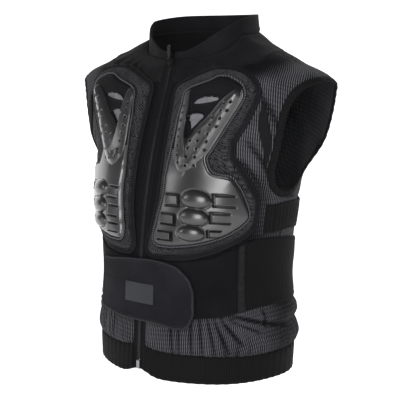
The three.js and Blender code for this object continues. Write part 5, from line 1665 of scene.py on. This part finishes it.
class VEST_OT_stitches(bpy.types.Operator):
    """Rows of stitches on the pads' borders and on the flap"""
    bl_idname = "vest.stitches"
    bl_label = "Stitches"

    def execute(self, context):
        form, belt = body_form(), sizes_of("belt")
        height, angle = rim_grid(form, PAD_ROWS, PAD_TOP, PAD_HEIGHT, 120, 50)
        rim_height, rim_angle = rim_line(height, angle, 2.0, 2)
        points, out, up = loop_frame(form, rim_height, rim_angle)
        verts, faces, count = [], [], 0
        for reach in BORDER_SEAMS:
            moved = points + out * reach
            turn = np.degrees(np.arctan2(moved[:, 1], moved[:, 0]))
            rim_height, rim_angle = (np.append(line, line[0]) for line in (moved[:, 2], turn))
            lift = np.full(len(rim_angle), BASE + 1.55)
            corners, row_faces = stitch_row(form, rim_height, rim_angle, lift)
            verts.append(corners)
            faces.append(row_faces + count)
            count += len(corners)
        piece = new_piece("border_stitches_left", np.concatenate(verts),
                          np.concatenate(faces).tolist(), finish_of("thread"), slot="webbing")
        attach(piece, "vest")
        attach(mirrored(piece, "border_stitches_right"), "vest")

        flap = smooth_rows(FLAP_EDGES, np.linspace(0.15, len(FLAP_EDGES) - 1.35, 160))
        inset = FLAP_SEAM / belt.flap_drop
        top = -belt.belt_top + belt.flap_drop * (flap[:, 1] - inset)
        foot = -belt.belt_top + belt.flap_drop * (flap[:, 2] + inset)
        across = np.concatenate([flap[:, 0], [-51.2, -50.9, -51.2], flap[::-1, 0]])
        drop = np.concatenate([top, [mix(top[-1], foot[-1], k) for k in (0.2, 0.5, 0.8)],
                               foot[::-1]])
        face, curl = flap_lift(belt, across)
        verts, faces = stitch_row(form, drop, across, face + 0.55 + curl)
        piece = new_piece("flap_stitches", verts, faces.tolist(), finish_of("thread"),
                          slot="loop")
        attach(piece, "vest")
        return {'FINISHED'}


def direction(azimuth, elevation):
    """A way out from the vest, with azimuth from its front to the wearer's left, in degrees."""
    a, e = math.radians(azimuth), math.radians(elevation)
    return Vector((math.sin(a) * math.cos(e), -math.cos(a) * math.cos(e), math.sin(e)))


def aim(thing, target, way, distance):
    """Puts a camera or light on the scene at a distance from the target, looking at it."""
    thing.location = target + way * distance
    thing.rotation_mode = 'QUATERNION'
    thing.rotation_quaternion = (-way).to_track_quat('-Z', 'Y')
    bpy.context.scene.collection.objects.link(thing)


class VEST_OT_stage(bpy.types.Operator):
    """Pale floor, soft studio light and the camera at the picture's angle"""
    bl_idname = "vest.stage"
    bl_label = "Stage and Camera"

    def execute(self, context):
        scene = context.scene
        azimuth, elevation, distance = 43, 7.8, 1.62
        target = Vector((0, 0, -0.21))
        data = bpy.data.cameras.new("vest_camera")
        data.sensor_width = 36
        data.lens = 99.18
        data.shift_x = 0.0025
        data.shift_y = -0.0075
        data.clip_start, data.clip_end = 0.05, 60
        camera = bpy.data.objects.new("vest_camera", data)
        aim(camera, target, direction(azimuth, elevation), distance)
        scene.camera = camera

        size, bend, level = 5.0, 1.2, -0.62
        profile = [(-size, 0.0)] + [(2.0 + bend * math.sin(a), bend * (1 - math.cos(a)))
                                    for a in np.linspace(0, math.pi / 2, 14)] + [(3.2, 4.0)]
        points = [(x * 1000, y * 1000, (level + z) * 1000) for y, z in profile
                  for x in (-size, size)]
        faces = [(2 * k, 2 * k + 1, 2 * k + 3, 2 * k + 2) for k in range(len(profile) - 1)]
        floor = new_piece("studio_floor", points, faces, studio_floor())
        floor.rotation_euler = (0, 0, math.radians(azimuth))

        lights = [
            # name, azimuth, elevation, distance, size, power, seen in gloss
            ("key_softbox", 56, 32, 2.1, 0.8, 15, False),
            ("front_softbox", 24, 9, 2.0, 0.75, 12.0, True),
            ("left_softbox", -32, 12, 2.1, 0.45, 3.0, True),
            ("back_softbox", 150, 38, 2.3, 1.1, 6, True),
            ("top_softbox", 20, 84, 2.0, 1.2, 3, False),
        ]
        for name, turn, rise, far, wide, power, gloss in lights:
            lamp = bpy.data.lights.new(name, 'AREA')
            lamp.shape = 'RECTANGLE'
            lamp.size = wide
            lamp.size_y = wide * 1.3
            lamp.energy = power
            thing = bpy.data.objects.new(name, lamp)
            thing.visible_glossy = gloss
            aim(thing, target, direction(turn, rise), far)

        world = bpy.data.worlds.new("studio_world")
        world.use_nodes = True
        background = world.node_tree.nodes["Background"].inputs
        background[0].default_value = (*hex_colour("#f2f3f5"), 1)
        background[1].default_value = 0.14
        scene.world = world
        scene.view_settings.view_transform = 'Standard'
        return {'FINISHED'}


OPERATORS = [VEST_OT_stage, VEST_OT_panels, VEST_OT_yoke, VEST_OT_bindings, VEST_OT_pads,
             VEST_OT_piping, VEST_OT_plates, VEST_OT_straps, VEST_OT_belt, VEST_OT_skirt,
             VEST_OT_zip, VEST_OT_stitches]


class VEST_PT_panel(bpy.types.Panel):
    """Settings and steps of the vest"""
    bl_idname = "VEST_PT_panel"
    bl_label = "Armour Vest"
    bl_space_type = 'VIEW_3D'
    bl_region_type = 'UI'
    bl_category = "Vest"

    def draw(self, context):
        for operator in OPERATORS:
            self.layout.operator(operator.bl_idname)
        for name in SETTINGS:
            group = getattr(context.scene, name)
            box = self.layout.box()
            for setting in group.bl_rna.properties:
                if not setting.is_readonly and setting.identifier != "name":
                    box.prop(group, setting.identifier)


def register():
    for group in SETTINGS.values():
        bpy.utils.register_class(group)
    for name, group in SETTINGS.items():
        setattr(bpy.types.Scene, name, PointerProperty(type=group))
    for operator in OPERATORS:
        bpy.utils.register_class(operator)
    bpy.utils.register_class(VEST_PT_panel)


def unregister():
    bpy.utils.unregister_class(VEST_PT_panel)
    for operator in reversed(OPERATORS):
        bpy.utils.unregister_class(operator)
    for name in SETTINGS:
        delattr(bpy.types.Scene, name)
    for group in SETTINGS.values():
        bpy.utils.unregister_class(group)


def main():
    register()
    for operator in OPERATORS:
        step = getattr(bpy.ops.vest, operator.bl_idname.split(".")[1])
        if step() != {'FINISHED'}:
            raise RuntimeError(f"{operator.bl_label} did not finish")


if __name__ == "__main__":
    main()
